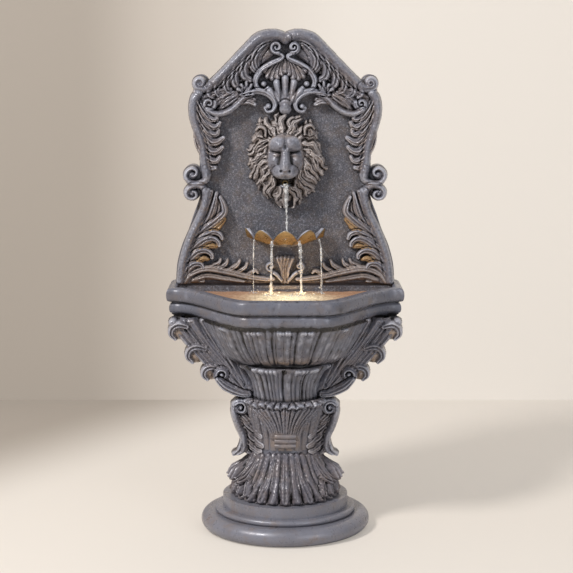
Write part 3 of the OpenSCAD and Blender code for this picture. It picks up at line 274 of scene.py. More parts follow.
class Nodes:
    """A short way to build a node material."""

    def __init__(self, name):
        self.mat = bpy.data.materials.new(name)
        self.mat.use_nodes = True
        self.tree = self.mat.node_tree
        self.bsdf = self.tree.nodes["Principled BSDF"]
        self.coord = self.add("ShaderNodeTexCoord").outputs["Object"]

    def feed(self, socket, value):
        """Links an output to a socket, or sets the socket; a colour gets its alpha."""
        if isinstance(value, bpy.types.NodeSocket):
            self.tree.links.new(value, socket)
        else:
            socket.default_value = (*value, 1) if isinstance(value, tuple) else value

    def add(self, kind, feeds=None, **values):
        node = self.tree.nodes.new(kind)
        for key, value in values.items():
            setattr(node, key, value)
        for key, value in (feeds or {}).items():
            self.feed(node.inputs[key], value)
        return node

    def set(self, **values):
        """Sets or links inputs of the surface."""
        for key, value in values.items():
            self.feed(self.bsdf.inputs[key.replace("_", " ")], value)

    def attribute(self, name):
        return self.add("ShaderNodeAttribute", attribute_name=name).outputs["Fac"]

    def axes(self):
        return self.add("ShaderNodeSeparateXYZ", {0: self.coord}).outputs[:2]

    def noise(self, scale, detail=4.0, rough=0.6, warp=0.0):
        feeds = {"Vector": self.coord, "Scale": scale, "Detail": detail, "Roughness": rough,
                 "Distortion": warp}
        return self.add("ShaderNodeTexNoise", feeds).outputs["Fac"]

    def math(self, kind, a, b, clamp=False):
        return self.add("ShaderNodeMath", {0: a, 1: b}, operation=kind, use_clamp=clamp).outputs[0]

    def spread(self, value, low, high, to_low=0.0, to_high=1.0):
        """Maps low to high softly onto another range."""
        feeds = {"Value": value, "From Min": low, "From Max": high, "To Min": to_low,
                 "To Max": to_high}
        return self.add("ShaderNodeMapRange", feeds,
                        interpolation_type="SMOOTHSTEP").outputs["Result"]

    def mix(self, factor, a, b):
        return self.add("ShaderNodeMix", {"Factor": factor, 6: a, 7: b},
                        data_type="RGBA").outputs[2]

    def bump(self, height, strength, distance, under=None):
        feeds = {"Strength": strength, "Distance": distance, "Height": height}
        if under:
            feeds["Normal"] = under
        return self.add("ShaderNodeBump", feeds).outputs["Normal"]


def tint(color, *shares):
    """A colour with its channels scaled, each by its own share or all by one."""
    return tuple(c * k for c, k in zip(color, shares * (3 // len(shares))))


def bronze(name, dark=(0.014, 0.012, 0.012), mid=(0.125, 0.125, 0.153), light=(0.44, 0.45, 0.51),
           tan=(0.27, 0.20, 0.15), tan_amount=0.14, speckle=0.0, gloss=0.31):
    """Cast stone with a bronze patina: dark recesses, pale worn ridges and tan dust.

    The dark recesses also carry painted shade and the pale ridges painted highlight; where the
    dust mark passes 1, it turns ochre to paint the lamp's warm glow.
    """
    n = Nodes(name)
    shade_and_wear = n.attribute("shade_and_wear")
    dust_and_glow = n.attribute("dust_and_glow")
    cloud = n.noise(9, 5, 0.65, 0.4)
    mottle = n.noise(70, 4, 0.7)
    grain = n.noise(520, 3, 0.7)
    wear_and_painted_light = n.math("ADD", shade_and_wear, n.math("MULTIPLY", n.math("SUBTRACT", mottle, 0.5), 0.5))
    umber = n.mix(n.spread(n.noise(24, 3, 0.6), 0.46, 0.66), mid, tint(mid, 1.0, 0.86, 0.74))
    body = n.mix(n.spread(cloud, 0.35, 0.7), umber, tint(mid, 0.86))
    # Pale ridges: worn patina and painted highlight
    body = n.mix(n.spread(wear_and_painted_light, 0.15, 0.95, 0.0, 0.7), body, light)
    where = n.math("MULTIPLY", n.spread(n.noise(38, 4, 0.75), 0.46, 0.66), tan_amount)
    where = n.math("ADD", where, n.math("MULTIPLY", dust_and_glow, n.spread(mottle, 0.25, 0.7, 0.35, 1.0)),
                   True)
    # Past 1 the mark paints the lamp's warm glow in ochre instead of tan dust
    tan_and_painted_glow = n.mix(n.spread(dust_and_glow, 1.0, 1.6), tan, (0.27, 0.165, 0.07))
    body = n.mix(n.math("MULTIPLY", where, n.spread(shade_and_wear, -0.7, -0.1)), body, tan_and_painted_glow)
    if speckle:
        spots = n.spread(n.noise(300, 4, 0.85), 0.5, 0.66, 0.0, speckle)
        body = n.mix(spots, body, light)
        pits = n.spread(n.noise(240, 3, 0.8), 0.3, 0.5, speckle, 0.0)
        body = n.mix(pits, body, dark)
    # Dark recesses: patina in the hollows and painted shade
    body = n.mix(n.spread(wear_and_painted_light, -0.75, -0.12, 1.0, 0.0), body, dark)
    fine = n.bump(grain, 0.16, 0.0006)
    rough = n.bump(mottle, 0.22 + 0.5 * speckle, 0.0016, fine)
    if speckle:
        rough = n.bump(n.noise(220, 4, 0.8), 0.9, 0.005, rough)
    n.set(Base_Color=body, Roughness=n.spread(mottle, 0.3, 0.72, gloss - 0.07, gloss + 0.16),
          Normal=rough, Metallic=0.12, IOR=1.5)
    return n.mat


def plain(name, color, rough=0.4, metallic=0.0, **more):
    """Plastic, rubber or metal with fine grain and slight mottling."""
    n = Nodes(name)
    patch = n.noise(60)
    n.set(Base_Color=n.mix(n.spread(patch, 0.3, 0.7), color, tint(color, 0.8)),
          Roughness=n.spread(patch, 0.3, 0.7, rough - 0.06, rough + 0.08),
          Normal=n.bump(n.noise(400, 2, 0.5), 0.1, 0.0004), Metallic=metallic, **more)
    return n.mat


stone = bronze("bronze_patina")
stone_field = bronze("field_patina", tan_amount=0.22, speckle=0.62, mid=(0.088, 0.087, 0.105),
                     gloss=0.42)
stone_basin = bronze("basin_patina", mid=(0.13, 0.133, 0.163), tan_amount=0.07)
# A darker copy of the patina, as painted shade on the skirt
stone_shaded = bronze("shaded_patina", mid=(0.098, 0.095, 0.120), light=(0.40, 0.40, 0.46),
                    tan_amount=0.12)
stone_tan = bronze("dusted_patina", tan_amount=0.35, mid=(0.15, 0.136, 0.145),
                   light=(0.38, 0.35, 0.36), tan=(0.31, 0.245, 0.20))
# A lighter copy of the patina: worn tone and painted highlight, for the face, palmette and plinth
stone_worn_and_lit = bronze("worn_and_lit_patina", mid=(0.172, 0.172, 0.203), tan_amount=0.08)
stone_mane = bronze("mane_patina", dark=(0.075, 0.058, 0.048), mid=(0.195, 0.18, 0.195),
                    light=(0.48, 0.455, 0.46), tan=(0.35, 0.30, 0.275), tan_amount=0.4)
# Gold that paints the lamp's warm glow on the shell's lobes
lamp_glow_gold = bronze("lamp_glow_gold_patina", dark=(0.03, 0.018, 0.008), mid=(0.225, 0.135, 0.05),
              light=(0.42, 0.30, 0.14), tan=(0.30, 0.17, 0.06), speckle=0.2)
steel = plain("stainless_steel", (0.55, 0.55, 0.57), 0.3, 1.0)
# Aged brass, darkened further as painted shade inside the lion's mouth
shaded_brass = plain("aged_brass_in_painted_shade", (0.13, 0.09, 0.04), 0.45, 1.0)
black = plain("black_plastic", (0.02, 0.02, 0.022), 0.42)
ivory = plain("white_plastic", (0.7, 0.7, 0.66), 0.4)
red = plain("red_plastic", (0.35, 0.03, 0.025), 0.3)
rubber = plain("black_rubber", (0.018, 0.018, 0.018), 0.75)
green = plain("circuit_green", (0.02, 0.14, 0.06), 0.35)
vinyl = plain("clear_vinyl", (0.7, 0.74, 0.75), 0.12, Transmission_Weight=0.75, IOR=1.45)


# The crest's carving, drawn on the panel's right half

# Middles of the ear and of the two curls
EAR = (218, 518)
CURLS = ((241, 283), (241, 238))


def turned(points, side):
    """The same points, on the left side where side is -1."""
    return np.asarray(points, float) * [side, 1]


def volute(sheet, side, center, r0, r1, start, turns, half, tall, lead=None):
    """A scroll with a lead that runs into it."""
    line = spiral(center, r0, r1, start, turns)
    if lead:
        line = np.vstack([path(list(lead) + [line[0]]), line])
    sheet.stroke(turned(line, side), half, tall, band_form, crease=0.15, ready=True)


# Leaves: their points, half widths and, for the gouges, how many flutes they have
GOUGES = (
    ([(20, 626), (48, 620), (70, 602), (80, 578), (75, 556), (61, 547)],
     [6, 12, 16, 17, 15, 8], 4),
    ([(46, 628), (76, 609), (97, 587), (107, 560), (103, 536), (89, 526)],
     [7, 12, 13, 14, 13, 8], 2),
    ([(68, 615), (98, 594), (119, 570), (130, 543), (127, 517), (113, 506)],
     [7, 12, 13, 13, 12, 8], 2),
    ([(92, 594), (121, 574), (142, 548), (152, 524), (148, 501), (134, 493)],
     [7, 12, 13, 13, 11, 7], 2),
    ([(118, 568), (146, 549), (165, 527), (175, 508), (172, 490), (160, 484)],
     [7, 11, 12, 12, 10, 7], 2),
    ([(144, 544), (170, 527), (187, 511), (196, 498), (193, 485), (184, 481)],
     [6, 9, 10, 10, 8, 6], 1),
)
SCROLL_LEAVES = (
    ([(208, 482), (188, 490), (166, 496), (140, 503)], [8, 10, 10, 6]),
    ([(190, 456), (172, 471), (150, 484), (124, 492)], [8, 12, 12, 8]),
    ([(168, 450), (148, 468), (128, 480), (102, 486)], [8, 12, 12, 8]),
    ([(148, 452), (126, 468), (106, 478), (82, 476)], [7, 11, 12, 8]),
    ([(130, 462), (110, 471), (92, 471), (78, 464)], [6, 9, 9, 6]),
)


def crest_strokes(s, side):
    def draw(points, half, tall, form, dust_and_glow=0.0, crease=0.3):
        s.stroke(turned(points, side), half, tall, form, dust_and_glow, crease)

    draw([(40, 600), (88, 574), (128, 540), (168, 508), (196, 494)], [16, 26, 28, 24, 12],
         [18, 22, 22, 22, 18], leaf_form(5, 0.2), 0.2, 0)
    for pts, half, flutes in GOUGES:
        draw(pts, [1.12 * w for w in half], [24, 28, 31, 32, 32, 28],
             leaf_form(flutes, 0.28, 0.14 * side), 0.12, 0.34)
    # The outer moulding and the ear that it rolls into
    draw([(-1, 630), (14, 636), (36, 639), (70, 629), (110.5, 593), (151.5, 551), (182, 521),
          (198, 508)],
         [15, 17, 17, 14, 13, 13, 13, 13], [33, 35, 36, 36, 36, 36, 35.5, 35], round_form,
         crease=0.22)
    s.dome((side * EAR[0], EAR[1]), 19, 30)
    volute(s, side, EAR, 12, 4, -105, 1.2, [13, 12, 11, 10, 8, 5], [35, 36, 36, 36, 36, 36],
           ((198, 508), (206, 505)))
    # The volutes at the top, and the canopy's arms under them
    volute(s, side, (22, 609), 14, 3, 255, 1.3, [7, 6, 5, 4], [35, 35, 34, 35])
    draw([(20, 594), (7, 586), (13, 578), (38, 566), (62, 550), (76, 526), (71, 506), (55, 499),
          (44, 507)],
         [5, 7, 7.5, 8, 8, 8, 7.5, 6.5, 5], [28, 32, 33, 34, 34, 34, 33, 32, 31], band_form)
    s.dome((side * 55, 516), 8, 33)
    # The drapery palmette that hangs in the canopy
    draw([(4, 572), (22, 556), (30, 546)], [8, 20, 26], [12, 16, 15], round_form, 0.3, 0)
    for x, v, wide in ((50, 547, 7), (45, 536, 8.5), (33, 531, 8.5), (20, 533, 8.5), (9, 541, 7)):
        draw([(3, 577), (x * 0.55 + 2, 559), (x, v)], [3.5, wide * 0.8, wide], [20, 23, 28],
             round_form, 0.35, 0.35)
    # The scroll that runs in from the shoulder, its leaves and its inner arm
    draw([(204, 478), (160, 476), (120, 478), (88, 476)], [14, 22, 20, 12], [16, 20, 20, 15],
         round_form, 0.2, 0)
    for pts, half in SCROLL_LEAVES:
        draw(pts, half, [20, 26, 28, 24], leaf_form(2, 0.25), 0.2, 0.22)
    volute(s, side, (195, 466), 15, 3, 170, 1.35, [8, 7, 5, 4], [34, 34, 33, 34])
    draw([(199, 450), (176, 440), (150, 445), (126, 461), (104, 483), (82, 490)],
         [8, 9, 9, 8.5, 8, 6], [32, 33, 33, 32, 32, 29], round_form, 0.05)
    draw([(112, 489), (86, 496), (60, 496), (38, 485), (26, 466), (32, 450), (45, 446), (51, 455)],
         [6, 8, 8.5, 8.5, 8, 7, 6, 5], [29, 32, 33, 34, 34, 33, 32, 31], band_form)
    s.dome((side * 43, 459), 8, 32)
    for tip in ((122, 502), (112, 514), (99, 520), (86, 514)):
        draw([(97, 494), tip], [7.5, 5], [25, 29], round_form, 0.1)


crest = Sheet((-242, 430), (242, 656))
for side in (1, -1):
    crest_strokes(crest, side)
crest.stroke([(0, 578), (0, 562), (0, 547)], [3, 6.5, 6], [20, 26, 27], leaf_form(1, 0.3), 0.4)
crest.finish()
declare(relief("crest_relief", crest, stone, on_panel), "crest_carving")

# The palmette: a broad palm that parts into five fingers
palm = Sheet((-56, 438), (56, 545), 0.8)
palm.stroke([(0, 466), (0, 484), (0, 500)], [16, 24, 30], [31, 30, 20], crease=0)
for x, v in ((-40, 499), (40, 499), (-22, 520), (22, 520), (0, 530)):
    palm.stroke([(x * 0.2, 466), (x * 0.62, 485), (x, v)], [10, 10.5, 10], [34, 36, 35],
                crease=0.25)
palm.dome((0, 472), 20, 37.5, crease=0)
palm.stroke([(0, 453), (0, 461)], [17, 16], [39, 39], crease=0.3)
palm.finish(1.0)
declare(relief("palmette_relief", palm, stone_worn_and_lit, on_panel), "crest_palmette")


# The side frames

# The upper leaves' tips with their half widths, then leaves as points and half widths
UPPER_TIPS = ((178, 432, 11), (169, 413, 13), (172, 394, 12), (160, 374, 14), (163, 350, 14),
              (170, 326, 12))
GLOWING_UNDERSIDES = (
    ([(232, 108), (206, 128), (180, 148), (160, 168)], [8, 14, 15, 8]),
    ([(243, 76), (219, 92), (198, 101), (179, 99)], [8, 13, 14, 8]),
    ([(252, 42), (232, 58), (213, 66), (201, 64)], [8, 13, 12, 6]),
)
LOWER_LEAVES = (
    ([(224, 150), (208, 180), (198, 210), (190, 240)], [9, 10, 9, 5]),
    ([(230, 132), (200, 164), (185, 200), (177, 236)], [9, 11, 10, 5]),
    ([(240, 116), (208, 142), (178, 165), (158, 186), (160, 208), (168, 226)],
     [9, 11, 12, 11, 9, 5]),
    ([(254, 84), (232, 106), (206, 125), (186, 134), (170, 129), (164, 118)],
     [8, 10, 11, 11, 9, 6]),
    ([(258, 58), (239, 88), (214, 110), (190, 118), (175, 110), (171, 100)], [8, 10, 11, 11, 9, 6]),
    ([(264, 32), (248, 62), (227, 82), (206, 86), (192, 77), (190, 68)], [8, 11, 12, 11, 9, 6]),
    ([(268, 8), (255, 34), (238, 50), (221, 51), (213, 42)], [8, 11, 12, 10, 6]),
)
# The outer moulding from the crest down: above the curls, the two curls, and below them, each
# with its points, half widths, heights and crease
MOULDING = (
    ([(222, 493), (233, 475), (235.5, 440), (226.5, 403), (213.5, 363), (207.5, 313), (203, 284)],
     [13, 13, 13, 12.5, 12, 12.5, 13], [33, 35.5, 36, 36, 36, 35, 34], 0.2),
    ([(203.5, 296), (205, 272), (222, 262), (242, 263), (255, 277), (253, 292), (240, 300),
      (229, 294), (230, 284), (238, 280)],
     [13, 12, 10, 9.5, 9, 8.5, 7.5, 6.5, 5, 4], [34.5, 35, 35, 36, 36, 36, 35, 34, 33, 33], 0.06),
    ([(238, 242), (231, 238), (230, 228), (239, 222), (251, 226), (255, 239), (246, 251),
      (228, 256), (212, 250), (203, 232)],
     [4, 5, 6, 7.5, 8.5, 9, 9.5, 10, 11, 12], [33, 33, 34, 35, 36, 36, 36, 35, 34, 34], 0.15),
    ([(202, 240), (209, 201), (225, 163), (247, 115), (264, 61), (271.5, 8)],
     [12, 12.5, 13, 13, 13, 13], [34, 35, 36, 36, 36, 35], 0.2),
)

flank = Sheet((146, 0), (286, 508))
# Wide low masses lie under the leaves
flank.stroke([(212, 470), (206, 430), (196, 390), (186, 350), (190, 312)], [22, 26, 26, 24, 16],
             [18, 20, 20, 20, 16], round_form, 0.2, 0)
flank.stroke([(206, 214), (206, 170), (224, 110), (246, 50), (256, 10)], [16, 28, 32, 28, 18],
             [18, 21, 21, 20, 16], round_form, 0.4, 0)
for x, v, half in UPPER_TIPS:
    flank.stroke([(231, v + 66), (224, v + 38), (210, v + 14), (193, v - 4), (177, v - 6),
                  (x, v + 4)],
                 [half * k for k in (0.5, 0.75, 0.95, 1, 0.85, 0.5)], [25, 29, 31, 32, 31, 27],
                 leaf_form(3, 0.26, 0.12), (0.1, 0.5), 0.28)
flank.stroke([(210, 336), (203, 314), (193, 302), (181, 302)], [8, 10, 10, 7], [25, 29, 29, 25],
             leaf_form(2, 0.2), 0.2, 0.25)
flank.stroke([(212, 140), (190, 168), (174, 196), (177, 222)], [10, 14, 13, 6], [22, 25, 26, 22],
             leaf_form(2, 0.2), 0.4, 0)
# Their mark of 1.45 paints the lamp's warm glow on the leaves' undersides in ochre
for pts, half in GLOWING_UNDERSIDES:
    flank.stroke(pts, half, [24, 27, 28, 26], leaf_form(3, 0.2), 1.45, 0.1)
for pts, half in LOWER_LEAVES:
    flank.stroke(pts, half, [26, 30, 32, 31, 28], leaf_form(2, 0.26, -0.1), (0.1, 0.5), 0.3)
for center in CURLS:
    flank.dome(center, 14, 32, crease=0)
for pts, half, tall, crease in MOULDING:
    flank.stroke(pts, half, tall, crease=crease)
flank.finish()
right = relief("side_frame_relief_right", flank, stone, on_panel)
declare(right, "side_frame_right")
declare(mirrored(right, "side_frame_relief_left"), "side_frame_left")


# The garland along the foot of the panel: points, half widths and height of its leaves
GARLAND = (
    ([(262, 3), (240, 9), (214, 7)], [6, 9, 6], 17),
    ([(240, 10), (205, 21), (160, 15), (108, 7)], [8, 10, 9, 6], 21),
    ([(206, 38), (187, 45), (173, 54), (168, 63)], [8, 8, 7, 4], 24),
    ([(186, 36), (167, 43), (154, 52), (150, 62)], [8, 8, 7, 4], 24),
    ([(158, 30), (138, 40), (124, 50), (118, 61)], [8, 8, 7, 4], 24),
    ([(132, 25), (116, 35), (104, 43), (99, 53)], [7, 7, 6, 4], 23),
    ([(106, 19), (90, 28), (78, 34), (71, 28)], [7, 7, 6, 4], 23),
    ([(262, 5), (244, 26), (205, 39), (150, 31), (95, 18), (50, 12), (30, 12)],
     [7, 9, 10, 10, 9, 8, 5], 26),
)
garland = Sheet((-264, 0), (264, 72))
for side in (1, -1):
    garland.stroke(turned([(256, 8), (205, 26), (150, 22), (90, 12), (40, 8)], side),
                   [10, 20, 18, 14, 8], [12, 16, 16, 14, 12], round_form, 0.3, 0)
    for pts, half, tall in GARLAND:
        garland.stroke(turned(pts, side), half, [tall], leaf_form(2, 0.25, 0.1 * side), 0.35, 0.25)
garland.finish()
declare(relief("garland_relief", garland, stone_tan, on_panel), "lower_garland")

# The small palmette in the middle of the garland
fan = Sheet((-54, 0), (54, 76), 0.8)
for x in (-18, -9, 0, 9, 18):
    fan.stroke([(x * 0.45, 2), (x * 0.5, 34), (x * 1.05, 68 - abs(x) * 0.12)], [4, 4.5, 6.5],
               [18, 21, 25], leaf_form(1, 0.35), 0.4)
for side in (1, -1):
    fan.stroke([(side * 10, 8), (side * 24, 24), (side * 38, 33)], [5, 6, 5], [20, 22, 24],
               band_form)
    fan.stroke(spiral((side * 38, 45), 11, 2.5, -90, 1.15 * side), [5, 4.5, 3], [25, 26, 26],
               band_form, ready=True)
fan.finish()
declare(relief("fan_relief", fan, stone, on_panel), "lower_palmette")


# The back panel's body

# The right half of its outline, from the foot to the middle of the crest
HALF_OUTLINE = [
    (285, 0), (284, 29), (280, 60), (268, 102), (251, 141), (238, 179), (228, 205), (221, 228),
    (217, 262), (221, 300), (221, 331), (225, 358), (234, 389), (244, 417), (250, 448), (247, 478),
    (236, 498), (212, 508), (196, 527), (182, 540), (153, 569), (122, 600), (96, 627), (70, 646),
    (36, 655.5), (12, 652), (0, 645)]
DISC_SIDES = 48


def wall_faces(rings, n, first):
    """Quads between rings of n points each, counted from the first ring's first vertex."""
    return (grid_faces(rings, n, wrap_v=True) + first).tolist()


def panel_body():
    half = path(HALF_OUTLINE, 5)
    ring = np.vstack([half, half[-2::-1] * (-1, 1)])
    n = len(ring)
    before, after = (step / np.linalg.norm(step, axis=1)[:, None]
                     for step in (ring - np.roll(ring, 1, 0), np.roll(ring, -1, 0) - ring))
    na, nb = (np.stack([-step[:, 1], step[:, 0]], 1) for step in (before, after))
    spread = (1 + (na * nb).sum(1))[:, None].clip(0.4)
    verts = []
    for d, y in ((3, FIELD_Y), (0.8, FIELD_Y + 0.8), (0, FIELD_Y + 3), (0, PANEL_BACK_Y - 4),
                 (1, PANEL_BACK_Y - 1), (3, PANEL_BACK_Y), (12, PANEL_BACK_Y),
                 (12, PANEL_BACK_Y - 5)):
        x, v = (ring + d * (na + nb) / spread).T
        verts.append(np.column_stack([x, np.full(n, y), RIM_TOP + v]))
    faces = [list(range(n))] + wall_faces(len(verts), n, 0)
    # The ears and curls stand out from the outline as rounded discs
    turn = np.linspace(0, 2 * math.pi, DISC_SIDES, endpoint=False)
    count = len(verts) * n
    for side in (1, -1):
        for (x, z), r in ((EAR, 22), (CURLS[0], 24), (CURLS[1], 22)):
            for q, y in ((r - 3, FIELD_Y), (r, FIELD_Y + 3), (r, PANEL_BACK_Y - 3),
                         (r - 3, PANEL_BACK_Y)):
                verts.append(np.column_stack([side * x + q * np.cos(turn), np.full(DISC_SIDES, y),
                                              RIM_TOP + z + q * np.sin(turn)]))
            faces += wall_faces(4, DISC_SIDES, count)
            faces.append([count + i for i in range(DISC_SIDES)])
            count += 4 * DISC_SIDES
            faces.append([count - 1 - i for i in range(DISC_SIDES)])
    obj = add_mesh("panel_body", np.vstack(verts), faces, [stone_field, stone],
                   index=[0] + [1] * (len(faces) - 1))
    for poly in obj.data.polygons:
        poly.use_smooth = len(poly.vertices) == 4
    return obj


declare(panel_body(), "back_panel")


# Lion mask, measured from the middle of the mask: half width and base height at each level

FACE_HALF = np.array([
    (-80, 8), (-70, 14), (-60, 19), (-50, 26), (-40, 35), (-26, 42), (-14, 47), (-4, 50.5),
    (10, 51), (24, 49), (34, 47), (48, 46), (58, 42), (67, 34), (73, 24), (78, 10)])
FACE_BASE = np.array([
    (-80, 22), (-64, 32), (-52, 40), (-42, 50), (-28, 58), (-8, 61), (10, 60), (30, 60), (50, 62),
    (66, 60), (78, 50)])


def face_height(x, v):
    """Height of the lion's face over the field at x and v from its middle."""
    half = np.interp(v, *FACE_HALF.T)
    base = np.interp(v, *FACE_BASE.T)
    a = np.abs(x)
    q = unit(a / half)
    h = base * (1 - 0.46 * q ** 3.2)
    # Cheekbones under the eyes, with a soft hollow beside the muzzle
    h += 6 * hump((a - 31) / 12) * hump((v - 6) / 11) - 5 * hump((a - 30) / 8) * hump((v + 16) / 12)
    # Two round brows, parted by a furrow that runs up the forehead
    brow = unit(1 - np.abs((a - 20) / 25) ** 2.4 - np.abs((v - 49) / 20) ** 2.2) ** 0.7
    h += (12 * brow + 3 * hump((a - 16) / 9) * hump((v - 44) / 9)
          - 3.5 * hump(a / 3.6) * smooth((v - 34) / 8))
    h -= 6 * smooth((v - 60) / 14)
    # Eyes: slits in the brows' shade that fall towards the nose, with a lid below
    slit = v - 28 - 0.14 * (a - 22) + 0.006 * (a - 24) ** 2
    h -= 9 * hump(slit / 3.2) * smooth((a - 10) / 5) * smooth((42 - a) / 7)
    h += 3.5 * hump((slit + 6.5) / 3.4) * smooth((a - 12) / 6) * smooth((36 - a) / 8)
    h -= 6 * hump((a - 15) / 6) * hump((v - 13) / 13)
    # A long nose that widens gently to its rounded tip
    run = smooth((38 - v) / 54)
    width = 10 + 6 * run
    ridge = (11 + 22 * run) * smooth((42 - v) / 12) * smooth((v + 26) / 9)
    ridge = ridge * unit(1 - (a / width) ** 2.6) ** 0.7
    # The muzzle: one large round form over the open mouth
    around = unit(1 - (a / 34) ** 2.2 - ((v + 22) / 22) ** 2) ** 0.5
    muzzle = 30 * around + 3 * hump((a - 14) / 10) * hump((v + 31) / 8) * (around > 0)
    muzzle = muzzle - 1.8 * hump(a / 2.0) * smooth((-26 - v) / 4) * (around > 0)
    h += np.log(np.exp(0.22 * ridge) + np.exp(0.22 * muzzle) - 1) / 0.22
    h -= 11 * hump(np.hypot((a - 10.5) / 3.2, (v + 18.5) / 2.8))
    # Open mouth under the lip, and a small chin
    lip = -41 + 0.012 * a ** 2
    h -= 34 * smooth((lip - v) / 3) * smooth((v + 59) / 5) * smooth((30 - a) / 8)
    h += 5 * smooth((-57 - v) / 5) * smooth((v + 76) / 10) * smooth((17 - a) / 9)
    inside = (a < half) & (v > -80) & (v < 78)
    return np.where(inside, np.maximum(h, 1), 0)


face = Sheet((-56, MASK_V - 81), (56, MASK_V + 79), 0.8)
fu, fv = face.grid()
fv = fv - MASK_V
face.h = face_height(fu, fv)
face.dust_and_glow = 0.6 * hump((np.abs(fu) - 22) / 9) * hump((fv - 20) / 6) + 0.6 * smooth((fv - 60) / 10)
face.dust_and_glow += 0.7 * smooth((np.abs(fu) - np.interp(fv, *FACE_HALF.T) + 10) / 7)
face.finish(0.9, 0.45)
declare(relief("lion_face_relief", face, stone_worn_and_lit, on_panel), "lion_face")

# Locks of the mane: lines from the face outwards, with half width and height at the root
LOCKS = [
    ([(-40, 50), (-50, 54), (-66, 44), (-80, 28), (-92, 20)], 8.5, 50),
    ([(-46, 40), (-64, 36), (-76, 14), (-90, 6)], 8, 48),
    ([(-48, 30), (-60, 16), (-74, 8), (-90, -14)], 8, 47),
    ([(-50, 18), (-62, 2), (-78, -6), (-90, -26)], 8, 46),
    ([(-50, 2), (-62, -8), (-72, -22), (-84, -42)], 8.5, 46),
    ([(-46, -10), (-56, -20), (-60, -38), (-72, -60)], 8.5, 48),
    ([(-40, -20), (-46, -34), (-56, -46), (-54, -66)], 8.5, 50),
    ([(-33, -34), (-36, -48), (-48, -62), (-50, -82)], 8, 50),
    ([(-27, -46), (-27, -62), (-38, -74), (-36, -94)], 8, 48),
    ([(-16, -58), (-12, -72), (-22, -86), (-12, -106)], 8.5, 46),
    ([(0, -66), (2, -80), (-6, -94), (4, -112)], 8.5, 44),
    ([(14, -58), (16, -72), (26, -86), (20, -106)], 8.5, 46),
    ([(26, -46), (24, -60), (36, -76), (42, -94)], 8, 48),
    ([(34, -36), (36, -52), (48, -62), (58, -82)], 8.5, 50),
    ([(42, -22), (44, -38), (54, -50), (72, -66)], 8.5, 50),
    ([(50, -6), (54, -22), (60, -36), (80, -52)], 9, 48),
    ([(52, 12), (58, -6), (72, -18), (82, -42)], 9, 47),
    ([(52, 26), (68, 18), (76, -2), (94, -30)], 9, 47),
    ([(50, 38), (68, 32), (84, 14), (98, -10)], 9, 48),
    ([(44, 50), (58, 50), (76, 42), (90, 18)], 9, 50),
    ([(-30, 68), (-42, 76), (-52, 90), (-68, 94)], 8, 50),
    ([(-22, 72), (-30, 86), (-44, 96), (-48, 110)], 8, 52),
    ([(-13, 74), (-15, 90), (-27, 102), (-24, 114)], 8, 54),
    ([(-3, 75), (-5, 92), (-10, 108), (-4, 124)], 8, 55),
    ([(7, 74), (14, 90), (9, 104), (20, 116)], 8, 54),
    ([(17, 72), (27, 86), (25, 100), (38, 110)], 8, 53),
    ([(27, 69), (38, 82), (50, 90), (54, 104)], 8, 51),
    ([(37, 62), (50, 70), (66, 72), (82, 62)], 8, 50),
    ([(-38, 60), (-52, 66), (-70, 62), (-84, 50)], 8, 48),
]
EARS = ((-62, 78), (62, 82))


def warp(sheet, amount, radius):
    """Bends the carving sideways by a soft random field."""
    grid = np.meshgrid(np.arange(len(sheet.u)), np.arange(len(sheet.v)), indexing="ij")
    moved = []
    for axis in grid:
        push = blur(random.standard_normal(sheet.h.shape), radius / sheet.step)
        moved.append(axis + amount / sheet.step * push / push.std())
    a, b = (np.clip(m, 0, n - 1.001) for m, n in zip(moved, sheet.h.shape))
    i, j = a.astype(int), b.astype(int)
    fa, fb = a - i, b - j
    near = (sheet.h[i, j] * (1 - fa) + sheet.h[i + 1, j] * fa) * (1 - fb)
    sheet.h = near + (sheet.h[i, j + 1] * (1 - fa) + sheet.h[i + 1, j + 1] * fa) * fb


mane = Sheet((-110, 198), (110, 444))
mu, mv = mane.grid()
mv = mv - MASK_V
rim = np.hypot(mu / 92, (mv - 4) / 104)
rim *= 1 + 0.05 * np.sin(13 * np.arctan2(mv, mu)) + 0.04 * np.sin(22 * np.arctan2(mv, mu) + 1)
mane.h = np.where(rim < 1, 40 * unit(1 - rim ** 3) ** 0.4, 0)
mane.dust_and_glow[:] = 0.7


def lift(points):
    """Points from the mask's middle, put on the panel's sheet."""
    return np.asarray(points, float) + (0, MASK_Z) - (0, RIM_TOP)


# An outer row of longer and flatter locks, turned a little, then the inner row
for row in (1.13, 1.0):
    for i, (line, half, tall) in enumerate(LOCKS):
        root = np.array(line, float)
        if row > 1:
            turn = math.radians(6 if i % 2 else -6)
            c, n = math.cos(turn), math.sin(turn)
            root = root * 1.06 @ np.array([(c, n), (-n, c)])
            tall, half = tall * 0.66, half * 0.9
        mane.stroke(lift(root), [half * 0.85, half * 1.2, half * 1.2, half, 4],
                    [tall, tall, tall * 0.92, tall * 0.8, tall * 0.6],
                    leaf_form(3, 0.24, 0.2 if i % 2 else -0.2), 0.6, 0.3)
warp(mane, 2.4, 5.5)
for x, v in EARS:
    s = 1 if x > 0 else -1
    mane.dome((x, v + MASK_V), 15, 55, 0.6)
    mane.stroke(lift([(x - s * 12, v - 10), (x - s * 10, v + 8), (x + s * 4, v + 13),
                      (x + s * 13, v + 4)]),
                [4, 5, 5, 3], [54, 57, 56, 50], round_form, 0.5)
    cup = hump(np.hypot(mu - x, mv - v + 2) / 7.5)
    mane.h -= 20 * cup * (mane.h > 25)
